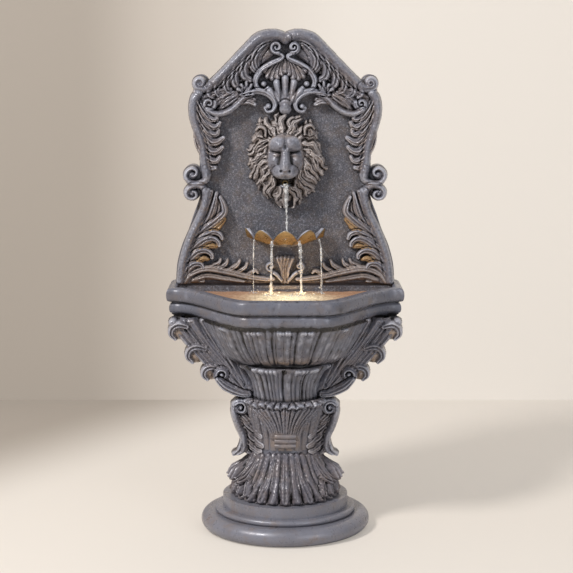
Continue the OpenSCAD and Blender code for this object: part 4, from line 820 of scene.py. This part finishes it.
# The mane stays low behind the face, and hollow behind its open mouth
behind = (mane.h > 0) & (np.abs(mu) < np.interp(mv, *FACE_HALF.T) - 7) & (mv > -66) & (mv < 68)
mane.h = np.where(behind, np.minimum(mane.h, 30), mane.h)
mouth = smooth((25 - np.abs(mu)) / 6) * smooth((mv + 62) / 5) * smooth((-40 - mv) / 4)
mane.h = np.where(mane.h > 0, mane.h * (1 - 0.62 * mouth), 0)
mane.h = np.minimum(mane.h, 57.5)
mane.finish(0.7, 0.6)
# Painted shadow darkens the open mouth
mane.shade_and_wear -= mouth
declare(relief("lion_mane_relief", mane, stone_mane, on_panel), "lion_mane")


# Shell bowl

SHELL_HALF_W, SHELL_OUT, SHELL_V, SHELL_DEEP, LOBES = 107, 103, 134, 38, 5


def shell_points(s, drop, wave, back, turn):
    """Points of the shell: s is their share of the rim's size, drop how far they lie below it,
    wave the height of the scallops."""
    lobe = np.abs(np.sin(LOBES * turn)) ** 1.05
    r = s * (0.93 + 0.07 * lobe * min(1, wave * 3))
    return np.stack([-SHELL_HALF_W * r * np.cos(turn),
                     FIELD_Y - back - (SHELL_OUT - back) * r * np.sin(turn),
                     RIM_TOP + SHELL_V - drop + 25 * wave * (lobe - 0.5)], -1)


def shell():
    turn = np.linspace(0, math.pi, 241)
    rib = np.abs(np.sin(LOBES * turn)) ** 0.75
    rings = []
    for s in np.linspace(0.1, 1, 26):
        p = shell_points(s, SHELL_DEEP * (1 - s ** 2.3), s ** 3, 0, turn)
        p[:, 2] -= (3.4 * (rib - 0.5) * s * (1 - smooth((s - 0.8) / 0.2))
                    + 0.5 * np.cos(30 * turn) * s)
        rings.append(p)
    for s in np.linspace(0.985, 0.1, 18):
        drop = SHELL_DEEP * (1 - s ** 2.3) - 7 * (1 - 0.72 * smooth((s - 0.72) / 0.27))
        p = shell_points(s * 0.93, drop, s ** 3, 2, turn)
        p[:, 2] -= 0.5 * np.cos(30 * turn) * s
        rings.append(p)
    pts = np.array(rings)
    n, m = pts.shape[:2]
    faces = grid_faces(n, m).tolist()
    # The wall's two ends at the panel, and its foot
    ends = [((k + 1) * m, k * m, (n - 1 - k) * m, (n - 2 - k) * m) for k in range(n // 2 - 1)]
    faces += [list(end) for end in ends]
    faces += [[b + m - 1, a + m - 1, d + m - 1, c + m - 1] for a, b, c, d in ends]
    faces += [[i, i + 1, (n - 1) * m + i + 1, (n - 1) * m + i] for i in range(m - 1)]
    flat = pts.reshape(-1, 3)
    flat[:, 1] = np.minimum(flat[:, 1], FIELD_Y)
    level = np.repeat(np.arange(n), m)
    # Ribs lighter and valleys darker, with a painted highlight along the rim's edge
    shade_and_wear = np.tile(rib - 0.62, n) * 1.2 + 0.5 * unit(1 - np.abs(level - 25) / 5)
    # Gold on the lobes' outsides paints the lamp's warm glow; the bowl under them and the inside
    # are plain
    index = [0 if 13 <= min(f) // m < 25 else 1 for f in faces]
    layers = {"shade_and_wear": shade_and_wear, "dust_and_glow": 0 * shade_and_wear}
    return add_mesh("shell_relief", flat, faces, [lamp_glow_gold, stone], layers, index)


declare(shell(), "shell_bowl")


# Basin: rings from the drain up its outside, over the rim and down to the pool's floor

FRONT_COLUMNS = 420
RIM_HALF_W, RIM_HALF_Y, RIM_BOW, RIM_CORNER = 304, 205, 225, 18
RIM_FLAT, RIM_SWEEP = 95, 195  # half width of the straight front, and of the curve beside it


def front_y(x, d):
    return -RIM_HALF_Y + d + RIM_BOW * smooth((np.abs(x) - RIM_FLAT + 0.58 * d) / RIM_SWEEP)


def rim_ring(d):
    """The outline at a distance d inside the rim, from the left end of the front all round."""
    w, back, r = RIM_HALF_W - d, RIM_HALF_Y - d, max(4, RIM_CORNER - d)
    side = float(front_y(np.array([w]), d)[0])
    x = np.linspace(-w, w, FRONT_COLUMNS + 1)
    turn = np.radians(np.linspace(0, 90, 9))[1:]
    parts = [
        np.column_stack([x, front_y(x, d)]),
        np.column_stack([np.full(31, w), np.linspace(side, back - r, 32)[1:]]),
        np.column_stack([w - r + r * np.cos(turn), back - r + r * np.sin(turn)]),
        np.column_stack([np.linspace(w - r, r - w, 81)[1:], np.full(80, back)]),
        np.column_stack([r - w - r * np.sin(turn), back - r + r * np.cos(turn)]),
        np.column_stack([np.full(30, -w), np.linspace(back - r, side, 32)[1:-1]]),
    ]
    return np.vstack(parts)


def ring_angles():
    """Each column's direction, evened out by its way along the rim."""
    p = rim_ring(0)
    i = np.arange(len(p))
    middle = FRONT_COLUMNS // 2
    a = np.degrees(np.arctan2(p[:, 1], p[:, 0]))
    a = np.where((i < middle) & (a > 0), a - 360, a)
    run = np.r_[0, np.cumsum(np.linalg.norm(np.diff(np.vstack([p, p[:1]]), axis=0), axis=1))]
    even = -90 + 360 * (run[:-1] - run[middle]) / run[-1]
    return np.radians(0.8 * a + 0.2 * even)


ANGLES = ring_angles()
AROUND = (np.degrees(ANGLES) + 90 + 180) % 360 - 180


def round_ring(r, z, ripple=0):
    r = r + ripple
    return np.column_stack([r * np.cos(ANGLES), r * np.sin(ANGLES), np.full(len(ANGLES), z)])


def band(d, z):
    return np.column_stack([rim_ring(d), np.full(len(ANGLES), z)])


def bowl_ring(t, z, grow, top_in):
    """A ring of the bowl at a share t of the way from its foot to the rim's outline."""
    s = np.sin(ANGLES)
    foot = np.column_stack([(150 + grow) * np.cos(ANGLES), (np.where(s < 0, 104, 175) + grow) * s])
    out = np.column_stack([np.cos(ANGLES), s])
    k = t ** 0.86
    p = foot * (1 - k) + (rim_ring(top_in) + out * np.reshape(grow, (-1, 1))) * k
    return np.column_stack([p, np.full(len(ANGLES), z)])


def away(at, shift=0.0):
    """How many degrees each column stands from each of the directions."""
    return np.abs((AROUND[:, None] + shift - at + 180) % 360 - 180)


class Grooves:
    """Uneven grooves round a body: each has its direction, depth and width."""

    def __init__(self, spacing, deep_ones, deep_width):
        at = np.cumsum(random.uniform(0.62, 1.38, int(360 / spacing) + 2)) * spacing - 180
        self.at = at[at < 180 - 0.4 * spacing]
        self.depth = random.uniform(0.35, 0.9, len(self.at))
        self.width = random.uniform(0.13, 0.2, len(self.at)) * spacing
        for u in deep_ones:
            near = np.argmin(np.abs(self.at - u))
            self.at[near], self.depth[near], self.width[near] = u, 1.3, deep_width
        self.spacing = spacing

    def cut(self, shift):
        """How deep each column is cut, and how far it stands up between its grooves."""
        gap = away(self.at, shift)
        ridge = unit(gap.min(1) / (0.5 * self.spacing)) ** 0.6
        return (self.depth * np.exp(-(gap / self.width) ** 2)).max(1), ridge


def lips(spots):
    """Where curled lips stand: each spot has its direction and half width."""
    at, half = np.array(spots).T
    return unit(1.25 * np.exp(-(away(at) / half) ** 4).max(1))


BOWL_GROOVES = Grooves(4.6, (-62, -40, -29, -9, 9, 24, 41, 66), 1.15)
FINE_GROOVES = Grooves(2.7, (), 1)
CUP_GROOVES = Grooves(7.5, (-60, -38, -2, 32, 58, 90, -90), 2.0)
BOWL_LIPS = lips([(-21, 4.6), (0, 5.4), (15, 4), (-50, 4), (44, 4), (-100, 8), (100, 8), (150, 10),
                  (-150, 10), (180, 10)])
CUP_LIPS = lips([(-29, 21), (30, 21), (-92, 24), (92, 24), (-150, 20), (150, 20)])


def basin():
    rings, shade_and_wear = [], []

    def put(ring, shading=0.0):
        rings.append(ring)
        shade_and_wear.append(np.zeros(len(ANGLES)) + shading)

    for r, z in ((16, 456), (16, 421), (54.3, 421), (54.3, 341), (56, CUP_Z)):
        put(round_ring(r, z))
    # The cup, with fluted leaves whose lips curl over
    crimp = np.abs(np.sin(math.pi * AROUND / 5.2)) ** 0.7
    for t in np.linspace(0, 1, 44):
        z = CUP_Z + 86 * t
        base = np.interp(t, [0, 0.26, 0.58, 0.84, 1], [80, 82, 89, 101, 111])
        deep, ridge = CUP_GROOVES.cut(2.5 * math.sin(3 * t))
        rise = smooth((t - 0.8) / 0.14)
        curl = rise * (1 - 0.45 * smooth((t - 0.965) / 0.035))
        out = 2 + (2.2 * ridge - 3.8 * deep) * smooth(t * 8 + 0.3) * (1 - 0.5 * curl * CUP_LIPS)
        out = out + curl * CUP_LIPS * (6.5 + 2.6 * crimp) - 4 * rise * (1 - CUP_LIPS)
        # Grooves darker, as patina and painted shade; curled lips lighter, as painted highlight;
        # painted shade where the top tucks in and at the foot
        shading = (0.34 * ridge - 0.7 * deep + curl * CUP_LIPS * (0.2 + 0.9 * crimp)
               - 0.8 * rise * (1 - CUP_LIPS))
        put(round_ring(base, z, out), shading - 0.5 * (t < 0.05))
    # Painted shade in the crevice between the cup and the bowl
    put(round_ring(112, BOWL_Z - 1, 3 * CUP_LIPS), 0.2)
    put(round_ring(103, BOWL_Z + 0.5, 2 * CUP_LIPS), -0.8)
    put(round_ring(99, BOWL_Z + 3), -1)
    # The bowl, with flutes that spread upwards, some to crimped lips under the rim
    crimp = np.abs(np.sin(math.pi * AROUND / 2.1)) ** 0.7
    for t in np.linspace(0, 1, 70):
        z = BOWL_Z + 5 + (RIM_Z - 10 - BOWL_Z - 5) * t
        shift = 1.2 * math.sin(2.6 * t + 0.5)
        deep, ridge = BOWL_GROOVES.cut(shift)
        fine = FINE_GROOVES.cut(-shift)[0] * smooth((t - 0.2) / 0.3)
        curl = BOWL_LIPS * smooth((t - 0.85) / 0.08) * (1 - 0.8 * smooth((t - 0.95) / 0.05))
        body = smooth(t * 6)
        out = -7 + body * (4.5 + 1.8 * ridge - 3.8 * deep - 1.0 * fine) * (1 - 0.5 * curl)
        out = out + curl * (7 + 2.6 * crimp) + 2.5 * body * hump((t - 0.45) / 0.4)
        # Grooves darker and curled lips lighter, as patina, painted shade and painted highlight;
        # painted shade at the bowl's foot and under the rim
        shading = (body * (0.36 * ridge - 0.6 * deep - 0.2 * fine) + curl * (0.2 + 0.9 * crimp)
               - 0.6 * (1 - body))
        put(bowl_ring(t, z, out, 16), shading - 0.9 * smooth((t - 0.95) / 0.05))
    # Painted shadow under the rim
    put(band(18, RIM_Z - 5), -1)
    put(band(13, RIM_Z - 1), -0.8)
    # The two bands of the rim with a groove between them, each band with a painted highlight near
    # its top and painted shade in the groove
    for k in np.linspace(0, 1, 13):
        bulge = unit(1 - (2 * k - 1) ** 2) ** 0.42
        put(band(7 + 6.5 * (1 - bulge), RIM_Z + 1 + 25.5 * k),
            0.3 * bulge - 0.3 + 0.35 * hump((k - 0.88) / 0.09))
    put(band(13.5, GROOVE_Z - 0.3), -0.9)
    for k in np.linspace(0, 1, 15):
        bulge = unit(1 - (2 * k - 1) ** 2) ** 0.38
        put(band(7.5 * (1 - bulge), GROOVE_Z + 1 + 33.4 * k),
            0.3 * bulge - 0.3 + 0.25 * hump((k - 0.9) / 0.08))
    # A painted highlight along the rim's inner edge, painted shade down its inner wall
    for d, z, c in ((12, RIM_TOP, 0.1), (18, RIM_TOP, 0), (23, RIM_TOP - 0.3, 0.2),
                    (25.5, RIM_TOP - 2, 0.35), (26.5, RIM_TOP - 5, 0.1), (28, RIM_Z + 6, 0),
                    (29, RIM_Z, -0.2)):
        put(band(d, z), c)
    for t in (0.75, 0.5, 0.25, 0.08, 0):
        put(bowl_ring(t, 456 + (RIM_Z - 10 - 456) * t, -12, 20), -0.2)
    pts = np.array(rings)
    n, m = pts.shape[:2]
    noise = blur(random.standard_normal((n, m)), 2.5)
    shading = np.array(shade_and_wear) + 0.15 * noise / noise.std()
    flat = pts.reshape(-1, 3)
    # The grid closes along its columns, and from its last ring to its first
    faces = grid_faces(n, m, True, True)[:, [0, 3, 2, 1]]
    x, y, z = flat.T
    warm = (0.9 * hump((z - 446) / 15) * hump((x - 5) / 80) * (y < 0)
            + 0.5 * hump((z - 342) / 9) * hump(x / 60))
    return add_mesh("basin_relief", flat, faces, [stone_basin],
                    {"shade_and_wear": np.clip(shading, -1, 1).ravel(), "dust_and_glow": warm})


declare(basin(), "basin_shell")


# Side leaves of the basin: a slab whose both faces carry the same carving

def slab_form(flutes, deep=0.16):
    """A thick lobe with rounded sides and grooves along it."""
    def form(q, t):
        valley = 1 - np.abs(np.sin(math.pi * flutes * (q + 1) / 2))
        return unit(1 - np.abs(q) ** 3.2) ** 0.45 * (1 - deep * valley ** 1.4)
    return form


wing = Sheet((74, 306), (340, 546), 1.25)
wing.stroke([(246, 534), (206, 500), (170, 456), (134, 410), (96, 362)], [24, 28, 30, 32, 28],
            [36, 38, 39, 38, 36], crease=0)
for pts in (
    [(112, 378), (142, 432), (176, 486), (206, 538)],
    [(106, 362), (148, 416), (192, 470), (236, 534)],
    [(112, 354), (160, 404), (212, 462), (262, 530)],
    [(170, 398), (200, 434), (242, 482), (284, 532)],
):
    wing.stroke(pts, [9, 13, 14, 13], [40, 43, 43, 38], slab_form(2), 0.1, 0.14)
# Lobes curl round a hollow along the outer edge
for center, r in (((270, 510), 20), ((226, 452), 22), ((190, 404), 18)):
    wing.dome(center, r + 3, 40, 1.05, crease=0)
    x, v = center
    curl = ((-1.1, 0.7), (-0.1, 0.95), (0.72, 0.55), (0.92, -0.25), (0.4, -0.9))
    wing.stroke([(x + a * r, v + b * r) for a, b in curl], [8, 11, 11, 10, 6], [44, 48, 48, 47, 43],
                slab_form(2, 0.2), 0.1, 0.05)
volute(wing, 1, (160, 402), 18, 4, -60, 1.3, [9, 8, 6, 4], [52, 51, 50, 51])
wing.stroke([(168, 386), (152, 371), (132, 360), (112, 352), (94, 349)], [11, 14, 14, 12, 10],
            [50, 50, 48, 45, 40], slab_form(3, 0.2), 0.05)
wing.dome((160, 402), 6, 52)
wing.h = np.minimum(wing.h, 51.5)
wing.finish(0.8, 0.4)


def wing_front(u, v, h):
    return np.stack([u, 2 - h * 1.02, v], -1)


def wing_back(u, v, h):
    return np.stack([u, 2 + np.minimum(h, 48), v], -1)


right = relief("side_leaf_relief_right", wing, stone, wing_front, wing_back)
declare(right, "side_leaf_right")
declare(mirrored(right, "side_leaf_relief_left"), "side_leaf_left")


# Brackets at the stem's sides

STEM_Z = [87, 131, 185, 215, 265, 340]
STEM_R = [106, 100, 83, 78, 80, 84]


def arm_face(side):
    """A side of the bracket: its foot follows the stem's round."""
    def place(u, v, h):
        core = np.sqrt(np.clip((np.interp(v, STEM_Z, STEM_R) + 2) ** 2 - u ** 2, 0, None))
        deep = np.maximum(h, (core + 0.3 * h) * (h > RAISED) * (core > 0))
        return np.stack([u, side * deep, v], -1)
    return place


arm = Sheet((46, 187), (141, 338), 0.9)
for pts, half in (
    ([(118, 302), (104, 288), (90, 276), (76, 270)], [8, 12, 12, 8]),
    ([(112, 280), (97, 266), (80, 252), (64, 246)], [8, 12, 13, 8]),
    ([(107, 256), (94, 240), (78, 227), (61, 222)], [8, 12, 13, 9]),
    ([(104, 232), (92, 217), (77, 206), (63, 208)], [7, 10, 10, 6]),
    ([(107, 216), (100, 202), (90, 193)], [8, 9, 5]),
):
    arm.stroke(pts, half, [26, 32, 32, 26], slab_form(3, 0.24), 0.3, 0.25)
arm.stroke([(106, 240), (111, 214), (119, 198), (132, 192)], [8, 9, 9, 6], [30, 32, 33, 33],
           slab_form(2, 0.2), 0.1)
arm.stroke([(130, 322), (128, 296), (119, 266), (108, 240), (104, 216), (109, 200), (120, 192)],
           [10, 12, 12, 12, 11, 9, 5], [36, 37, 37, 37, 37, 36, 32], round_form, 0.05, 0.2)
volute(arm, 1, (113, 314), 18, 4, 40, 1.25, [9, 8, 6, 4], [41, 41, 41, 41])
arm.dome((113, 314), 6, 41)
arm.finish(0.7, 0.4)
right = relief("bracket_relief_right", arm, stone, arm_face(-1), arm_face(1))
declare(right, "scroll_bracket_right")
declare(mirrored(right, "bracket_relief_left"), "scroll_bracket_left")


# Leaves round the stem: sheets that are wound round it

WRAP_R = 120.0
TURN = math.pi * WRAP_R  # half a turn on the unwound sheet
SKIRT_LEAVES, BELL_LEAVES = 28, 24


def wound(u, v, h):
    r = np.interp(v, STEM_Z, STEM_R) + h
    a = u / WRAP_R - math.pi / 2
    return np.stack([r * np.cos(a), r * np.sin(a), v], -1)


def every_turn(sheet, middle, pts, half, tall, form, dust_and_glow=0.0, crease=0.3):
    """Draws a stroke about a middle, and again where it crosses the sheet's side."""
    for shift in (-2 * TURN, 0, 2 * TURN):
        moved = [(middle + x + shift, v) for x, v in pts]
        if min(moved)[0] < sheet.u[-1] + 20 and max(moved)[0] > sheet.u[0] - 20:
            sheet.stroke(moved, half, tall, form, dust_and_glow, crease)


def capped(sheet, limit):
    """Keeps the leaves within a radius and clears what doesn't rise."""
    sheet.h = np.minimum(sheet.h, limit - np.interp(sheet.v, STEM_Z, STEM_R)[None, :])
    sheet.h = np.where(sheet.h > RAISED, sheet.h, 0)


skirt = Sheet((-TURN, 88), (TURN, 208), 1.1)
# A ring of plain leaves, then the leaves in front and at the back, and those under the brackets
for k in range(SKIRT_LEAVES):
    u = (k + 0.5) * TURN / (SKIRT_LEAVES / 2) - TURN
    every_turn(skirt, u, [(0, 190), (0, 150), (0, 116), (0, 96)], [14, 16, 18, 17], [8, 17, 30, 36],
               leaf_form(2, 0.25), 0.2, 0.15)
for middle in (0, TURN):
    for k in (-3, 3, -2, 2, -1, 1, 0):
        sway = 2.0 * math.sin(2.3 * k)
        every_turn(skirt, middle,
                   [(21 * k, 202 - 2 * abs(k)), (22 * k + sway, 172), (22.5 * k, 140),
                    (25 * k - sway, 114), (28 * k, 98)],
                   [12, 13, 13.5, 15, 13], [11, 16, 22, 34, 45 - abs(k)],
                   leaf_form(2 - k % 2, 0.2), 0.1, 0.25)
for middle in (-0.5 * TURN, 0.5 * TURN):
    for off in (-88, -62, -36, 36, 62, 88):
        every_turn(skirt, middle, [(off * 0.92, 192), (off * 0.9, 168), (off * 0.86, 146),
                                   (off * 0.8 - off / 11, 132)],
                   [8, 11, 13, 9], [10, 18, 31, 44], leaf_form(2, 0.35), 0.2)
        every_turn(skirt, middle, [(off * 0.9, 140), (off, 120), (off * 1.04, 106)], [9, 13, 10],
                   [24, 36, 42], leaf_form(2, 0.35), 0.15)
    for off in (-26, 26, 0):
        every_turn(skirt, middle,
                   [(off * 0.4, 190), (off * 0.7, 166), (off, 148), (off * 1.1, 136)],
                   [8, 12, 16, 12], [12, 26, 48, 56], leaf_form(3, 0.5), 0.2)
        every_turn(skirt, middle, [(off * 0.8, 132), (off * 1.1, 114), (off * 1.3, 101)],
                   [8, 14, 11], [24, 38, 42], leaf_form(2, 0.3), 0.2)
capped(skirt, 152)
skirt.finish(0.8, 0.5)
# Painted shade darkens the skirt
skirt.shade_and_wear = 0.8 * skirt.shade_and_wear - 0.22
declare(relief("skirt_relief", skirt, stone_shaded, wound), "skirt_leaves")

bell = Sheet((-TURN, 214), (TURN, 342), 1.1)
# A ring of plain leaves, then two sprays that spread from the clasp and its fellow at the back
for k in range(BELL_LEAVES):
    u = (k + 0.5) * TURN / (BELL_LEAVES / 2) - TURN
    every_turn(bell, u, [(0, 212), (0, 250), (0, 290), (0, 318), (0, 334)], [12, 13, 15, 17, 16],
               [3, 5, 12, 19, 22], leaf_form(2, 0.3), 0.12)
for middle in (0, TURN):
    for k in (-7, 7, -6, 6, -5, 5, -4, 4, -3, 3, -2, 2, -1, 1, 0):
        f, sway = k / 7, 3 * math.sin(3.1 * k)
        half = [5, 7, 10, 12] if k % 3 else [6, 9, 12, 14]
        every_turn(bell, middle, [(50 * f, 246), (66 * f, 280), (100 * f + sway, 310),
                                  (136 * f + sway, 333)], half,
                   [7, 14, 21, 26 + 2 * (k % 3 == 0)], leaf_form(2, 0.35), 0.15, 0.35)
    for k in range(-6, 7):
        v, w = 332 + 2 * math.cos(4 * k), 9 + 2 * math.sin(7 * k)
        every_turn(bell, middle + 24 * k + 3 * math.sin(5.3 * k),
                   [(-w, v - 3), (-0.3 * w, v + 2), (0.4 * w, v + 1), (w, v - 4)],
                   [5, 7, 7.5, 5], [26, 30, 30, 26], round_form)
capped(bell, 112.5)
bell.finish(0.8, 0.5)
# Ochre dust round the clasp
front = hump(np.minimum(np.abs(bell.u), 2 * TURN - np.abs(bell.u)) / 58)
bell.dust_and_glow += 0.85 * front[:, None] * hump((bell.v - 232) / 20)[None, :]
declare(relief("bell_relief", bell, stone, wound), "bell_leaves")


# Finishes of the CAD nodes that stay

lens = plain("lamp_lens_glass", (0.9, 0.85, 0.7), 0.15, Transmission_Weight=0.5, IOR=1.45,
             Emission_Color=(1.0, 0.72, 0.35), Emission_Strength=3.0)
for mat, names in (
    (stone_worn_and_lit, "base_plinth"), (stone, "pedestal_core"), (stone_tan, "waist_clasp"),
    (stone_field, "pump_screen rear_cover"), (shaded_brass, "spout_nozzle"), (vinyl, "water_tube"),
    (steel, "pedestal_bolts panel_screws cover_screws shell_screws bracket_screws impeller_shaft"),
    (steel, "lamp_bracket lamp_bezel"), (black, "tube_clips pump_body volute_cover intake_cover"),
    (black, "lamp_housing"), (ivory, "impeller"), (red, "flow_gate"),
    (rubber, "suction_feet drain_stopper"), (green, "led_board"), (lens, "lamp_lens"),
):
    for name in names.split():
        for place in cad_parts[name].material_slots:
            place.material = mat


# Water: the pool's surface, the streams and their splashes

def water_material():
    """Still water over the lamp: the light fades with the way from its hot spot."""
    n = Nodes("pool_water")
    x, y = n.axes()
    dx = n.math("MULTIPLY", n.math("SUBTRACT", x, 0.008), 1 / 0.125)
    dy = n.math("MULTIPLY", n.math("SUBTRACT", y, -0.02), 1 / 0.12)
    far = n.math("ADD", n.math("MULTIPLY", dx, dx), n.math("MULTIPLY", dy, dy))
    glow = n.math("POWER", 2.718, n.math("MULTIPLY", far, -1.0))
    shimmer = n.noise(55, 4, 0.7, 1.5)
    glow = n.math("MULTIPLY", glow, n.spread(shimmer, 0.3, 0.7, 0.75, 1.25))
    strength = n.math("ADD", n.math("MULTIPLY", n.math("POWER", glow, 2.0), 0.62), 0.35)
    n.set(Emission_Color=n.mix(n.spread(glow, 0.1, 0.9), (0.58, 0.26, 0.09), (1.0, 0.83, 0.52)),
          Emission_Strength=strength,
          Base_Color=n.mix(n.spread(shimmer, 0.35, 0.65), (0.10, 0.085, 0.08), (0.17, 0.13, 0.11)),
          Normal=n.bump(n.noise(38, 3, 0.6, 0.8), 0.35, 0.006), Roughness=0.08, IOR=1.33)
    return n.mat


def stream_material():
    n = Nodes("falling_water")
    streak = n.noise(90, 3, 0.7)
    n.set(Base_Color=n.mix(n.spread(streak, 0.4, 0.6), (0.55, 0.55, 0.56), (0.95, 0.95, 0.94)),
          Alpha=n.spread(streak, 0.35, 0.65, 0.25, 0.8), Normal=n.bump(streak, 0.5, 0.002),
          Roughness=0.06, IOR=1.33, Transmission_Weight=0.45)
    return n.mat


def pool_surface():
    outline = rim_ring(28.5)
    shares = np.linspace(0, 1, 40)
    pts = np.array([np.column_stack([outline[:, 0] * s, 20 + (outline[:, 1] - 20) * s,
                                     np.full(len(outline), WATER_Z)]) for s in shares])
    ripple = blur(random.standard_normal(pts.shape[:2]), 2)
    pts[:, :, 2] += 0.8 * ripple / ripple.std() * (shares[:, None] > 0)
    return add_mesh("pool_water", pts.reshape(-1, 3), grid_faces(*pts.shape[:2], wrap_v=True),
                    [water_material()])


def tube(points, radii):
    """A thread of water through the points, with uneven walls."""
    sides, wobble = 10, 0.25
    line = path(points, 2.5)
    r = np.interp(np.linspace(0, 1, len(line)), np.linspace(0, 1, len(radii)), radii)
    swell = np.repeat(random.standard_normal(len(line) // 3 + 1), 3)[:len(line)]
    r = r * (1 + wobble * swell.clip(-1.6, 1.6))
    a = np.linspace(0, 2 * math.pi, sides, endpoint=False)
    drift = np.cumsum(random.standard_normal((len(line), 2)), 0) * 0.12
    pts = np.array([np.column_stack([p[0] + w * np.cos(a) + d[0], p[1] + w * np.sin(a) + d[1],
                                     np.full(sides, p[2])]) for p, w, d in zip(line, r, drift)])
    return pts.reshape(-1, 3), grid_faces(*pts.shape[:2], wrap_v=True)


def drop(center, r):
    """A water drop: a small round body of eight by six points, flattened."""
    a = np.linspace(0, 2 * math.pi, 8, endpoint=False)
    pts = [[center[0] + r * math.sin(b) * math.cos(c), center[1] + r * math.sin(b) * math.sin(c),
            center[2] + 0.8 * r * math.cos(b)]
           for b in np.linspace(0.05, math.pi - 0.05, 6) for c in a]
    return np.array(pts), grid_faces(6, 8, wrap_v=True)


def streams():
    parts = [
        tube([(0, 50, 879), (1, 40, 868), (2, 38, 840), (3, 40, 790), (3, 42, 741)],
             [3.9, 3.5, 2.8, 2.4, 3.0]),
        tube([(5, 50, 880), (6, 42, 868), (7, 40, 845), (6, 42, 815)], [2.5, 2.2, 1.6, 1.0]),
        tube([(-79, 70, 736), (-80, 58, 731), (-80, 55, 700), (-80, 54, WATER_Z)],
             [1.6, 1.4, 1.0, 0.8]),
        tube([(-33, 34, 735), (-34, 24, 731), (-35, 20, 705), (-37, 18, WATER_Z)],
             [3.9, 3.4, 2.7, 3.2]),
        tube([(35, 34, 735), (36, 24, 731), (39, 20, 705), (41, 18, WATER_Z)],
             [4.2, 3.7, 3.0, 3.6]),
        tube([(86, 70, 736), (88, 60, 731), (92, 57, 700), (93, 56, WATER_Z)],
             [2.6, 2.2, 1.8, 2.0]),
    ]
    # Drops where the streams meet the pool, then where the spout's water meets the shell
    for x, y, spread, count in ((-37, 18, 26, 60), (41, 18, 30, 70), (-80, 54, 14, 18),
                                (93, 56, 16, 26)):
        for _ in range(count):
            a, r = random.uniform(0, 2 * math.pi), abs(random.normal(0, spread * 0.55))
            high = WATER_Z + 2 + abs(random.normal(0, 9)) * math.exp(-r / spread)
            parts.append(drop((x + r * math.cos(a), y + 0.6 * r * math.sin(a), high),
                              random.uniform(0.8, 2.2)))
    for _ in range(26):
        x, y, z = 3 + random.normal(0, 9), 42 + random.normal(0, 6), 737 + abs(random.normal(0, 7))
        parts.append(drop((x, y, z), random.uniform(0.7, 1.6)))
    first = np.cumsum([0] + [len(pts) for pts, _ in parts])
    return add_mesh("water_streams", np.vstack([pts for pts, _ in parts]),
                    np.vstack([faces + k for (_, faces), k in zip(parts, first)]),
                    [stream_material()])


for piece in (pool_surface(), streams()):
    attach(piece, "root")


# Floor, wall, light and camera

def stage_material(name, shades, even):
    """A matt painted surface; to the camera, the share even of it shines without shadows."""
    n = Nodes(name)
    color = shades(n, *n.axes())
    seen = n.math("MULTIPLY", n.add("ShaderNodeLightPath").outputs["Is Camera Ray"], even)
    # Seen from behind, the wall doesn't hide the fountain
    front = n.math("SUBTRACT", 1, n.add("ShaderNodeNewGeometry").outputs["Backfacing"])
    n.set(Base_Color=n.mix(seen, color, (0, 0, 0)), Emission_Color=color, Alpha=front,
          Roughness=0.9, Emission_Strength=n.math("MULTIPLY", seen, (even - 0.03) / even))
    return n.mat


def wall_painted_shade(n, x, y):
    # Painted shade darkens the wall's left side
    left = n.mix(n.spread(x, -0.72, -0.36), (0.415, 0.362, 0.308), (0.58, 0.515, 0.448))
    return n.mix(n.spread(x, -0.46, 0.3), left, (0.81, 0.75, 0.68))


def floor_painted_shadow(n, x, y):
    # A painted shadow darkens the floor's back left corner
    corner = n.spread(n.math("SUBTRACT", x, n.math("MULTIPLY", y, 0.6)), -1.5, -0.84)
    return n.mix(corner, (0.385, 0.335, 0.285), (0.745, 0.687, 0.62))


STAGE_HALF, STAGE_HIGH, WALL_Y = 6000, 5000, 1510
for name, near, far, mat in (
    ("floor", (-STAGE_HALF, 0), (WALL_Y, 0), stage_material("floor_paint", floor_painted_shadow, 0.4)),
    ("wall", (WALL_Y, 0), (WALL_Y, STAGE_HIGH), stage_material("wall_paint", wall_painted_shade, 0.55)),
):
    corners = [(-STAGE_HALF, *near), (STAGE_HALF, *near), (STAGE_HALF, *far), (-STAGE_HALF, *far)]
    add_mesh(name, corners, [[0, 1, 2, 3]], [mat])

world = bpy.data.worlds.new("studio")
bpy.context.scene.world = world
world.use_nodes = True
sky = world.node_tree.nodes["Background"].inputs
sky["Color"].default_value = (0.93, 0.96, 1.0, 1)
sky["Strength"].default_value = 0.55

for name, place, target, size, power, color in (
    ("key", (-2.7, -2.4, 3.9), (0, 0, 0.7), 1.0, 238, (1.0, 0.975, 0.95)),
    ("fill", (2.8, -3.6, 1.6), (0, 0, 0.6), 2.5, 48, (0.92, 0.95, 1.0)),
    ("pool_glow", (0, 0.03, 0.60), (0, 0.03, 1.0), 0.16, 0.22, (1.0, 0.66, 0.30)),
):
    light = bpy.data.lights.new(name, "AREA")
    light.shape, light.size, light.energy, light.color = "DISK", size, power, color
    lamp = add_object(name, light)
    lamp.location = place
    lamp.rotation_euler = (Vector(target) - Vector(place)).to_track_quat("-Z", "Y").to_euler()

# The camera stands 4 m in front; focal length and middle were fitted in pixels of the frame
FRAME, FOCAL, MIDDLE = 573, 1593.7, 285.2
view = bpy.data.cameras.new("camera")
view.sensor_width = 36
view.lens = 36 * FOCAL / FRAME
view.shift_x = (FRAME / 2 - MIDDLE) / FRAME
camera = add_object("camera", view)
camera.location = (0, -4.0, 1.2)
camera.rotation_euler = (math.radians(90 - 8.22), 0, 0)
bpy.context.scene.camera = camera
bpy.context.scene.view_settings.view_transform = "Standard"
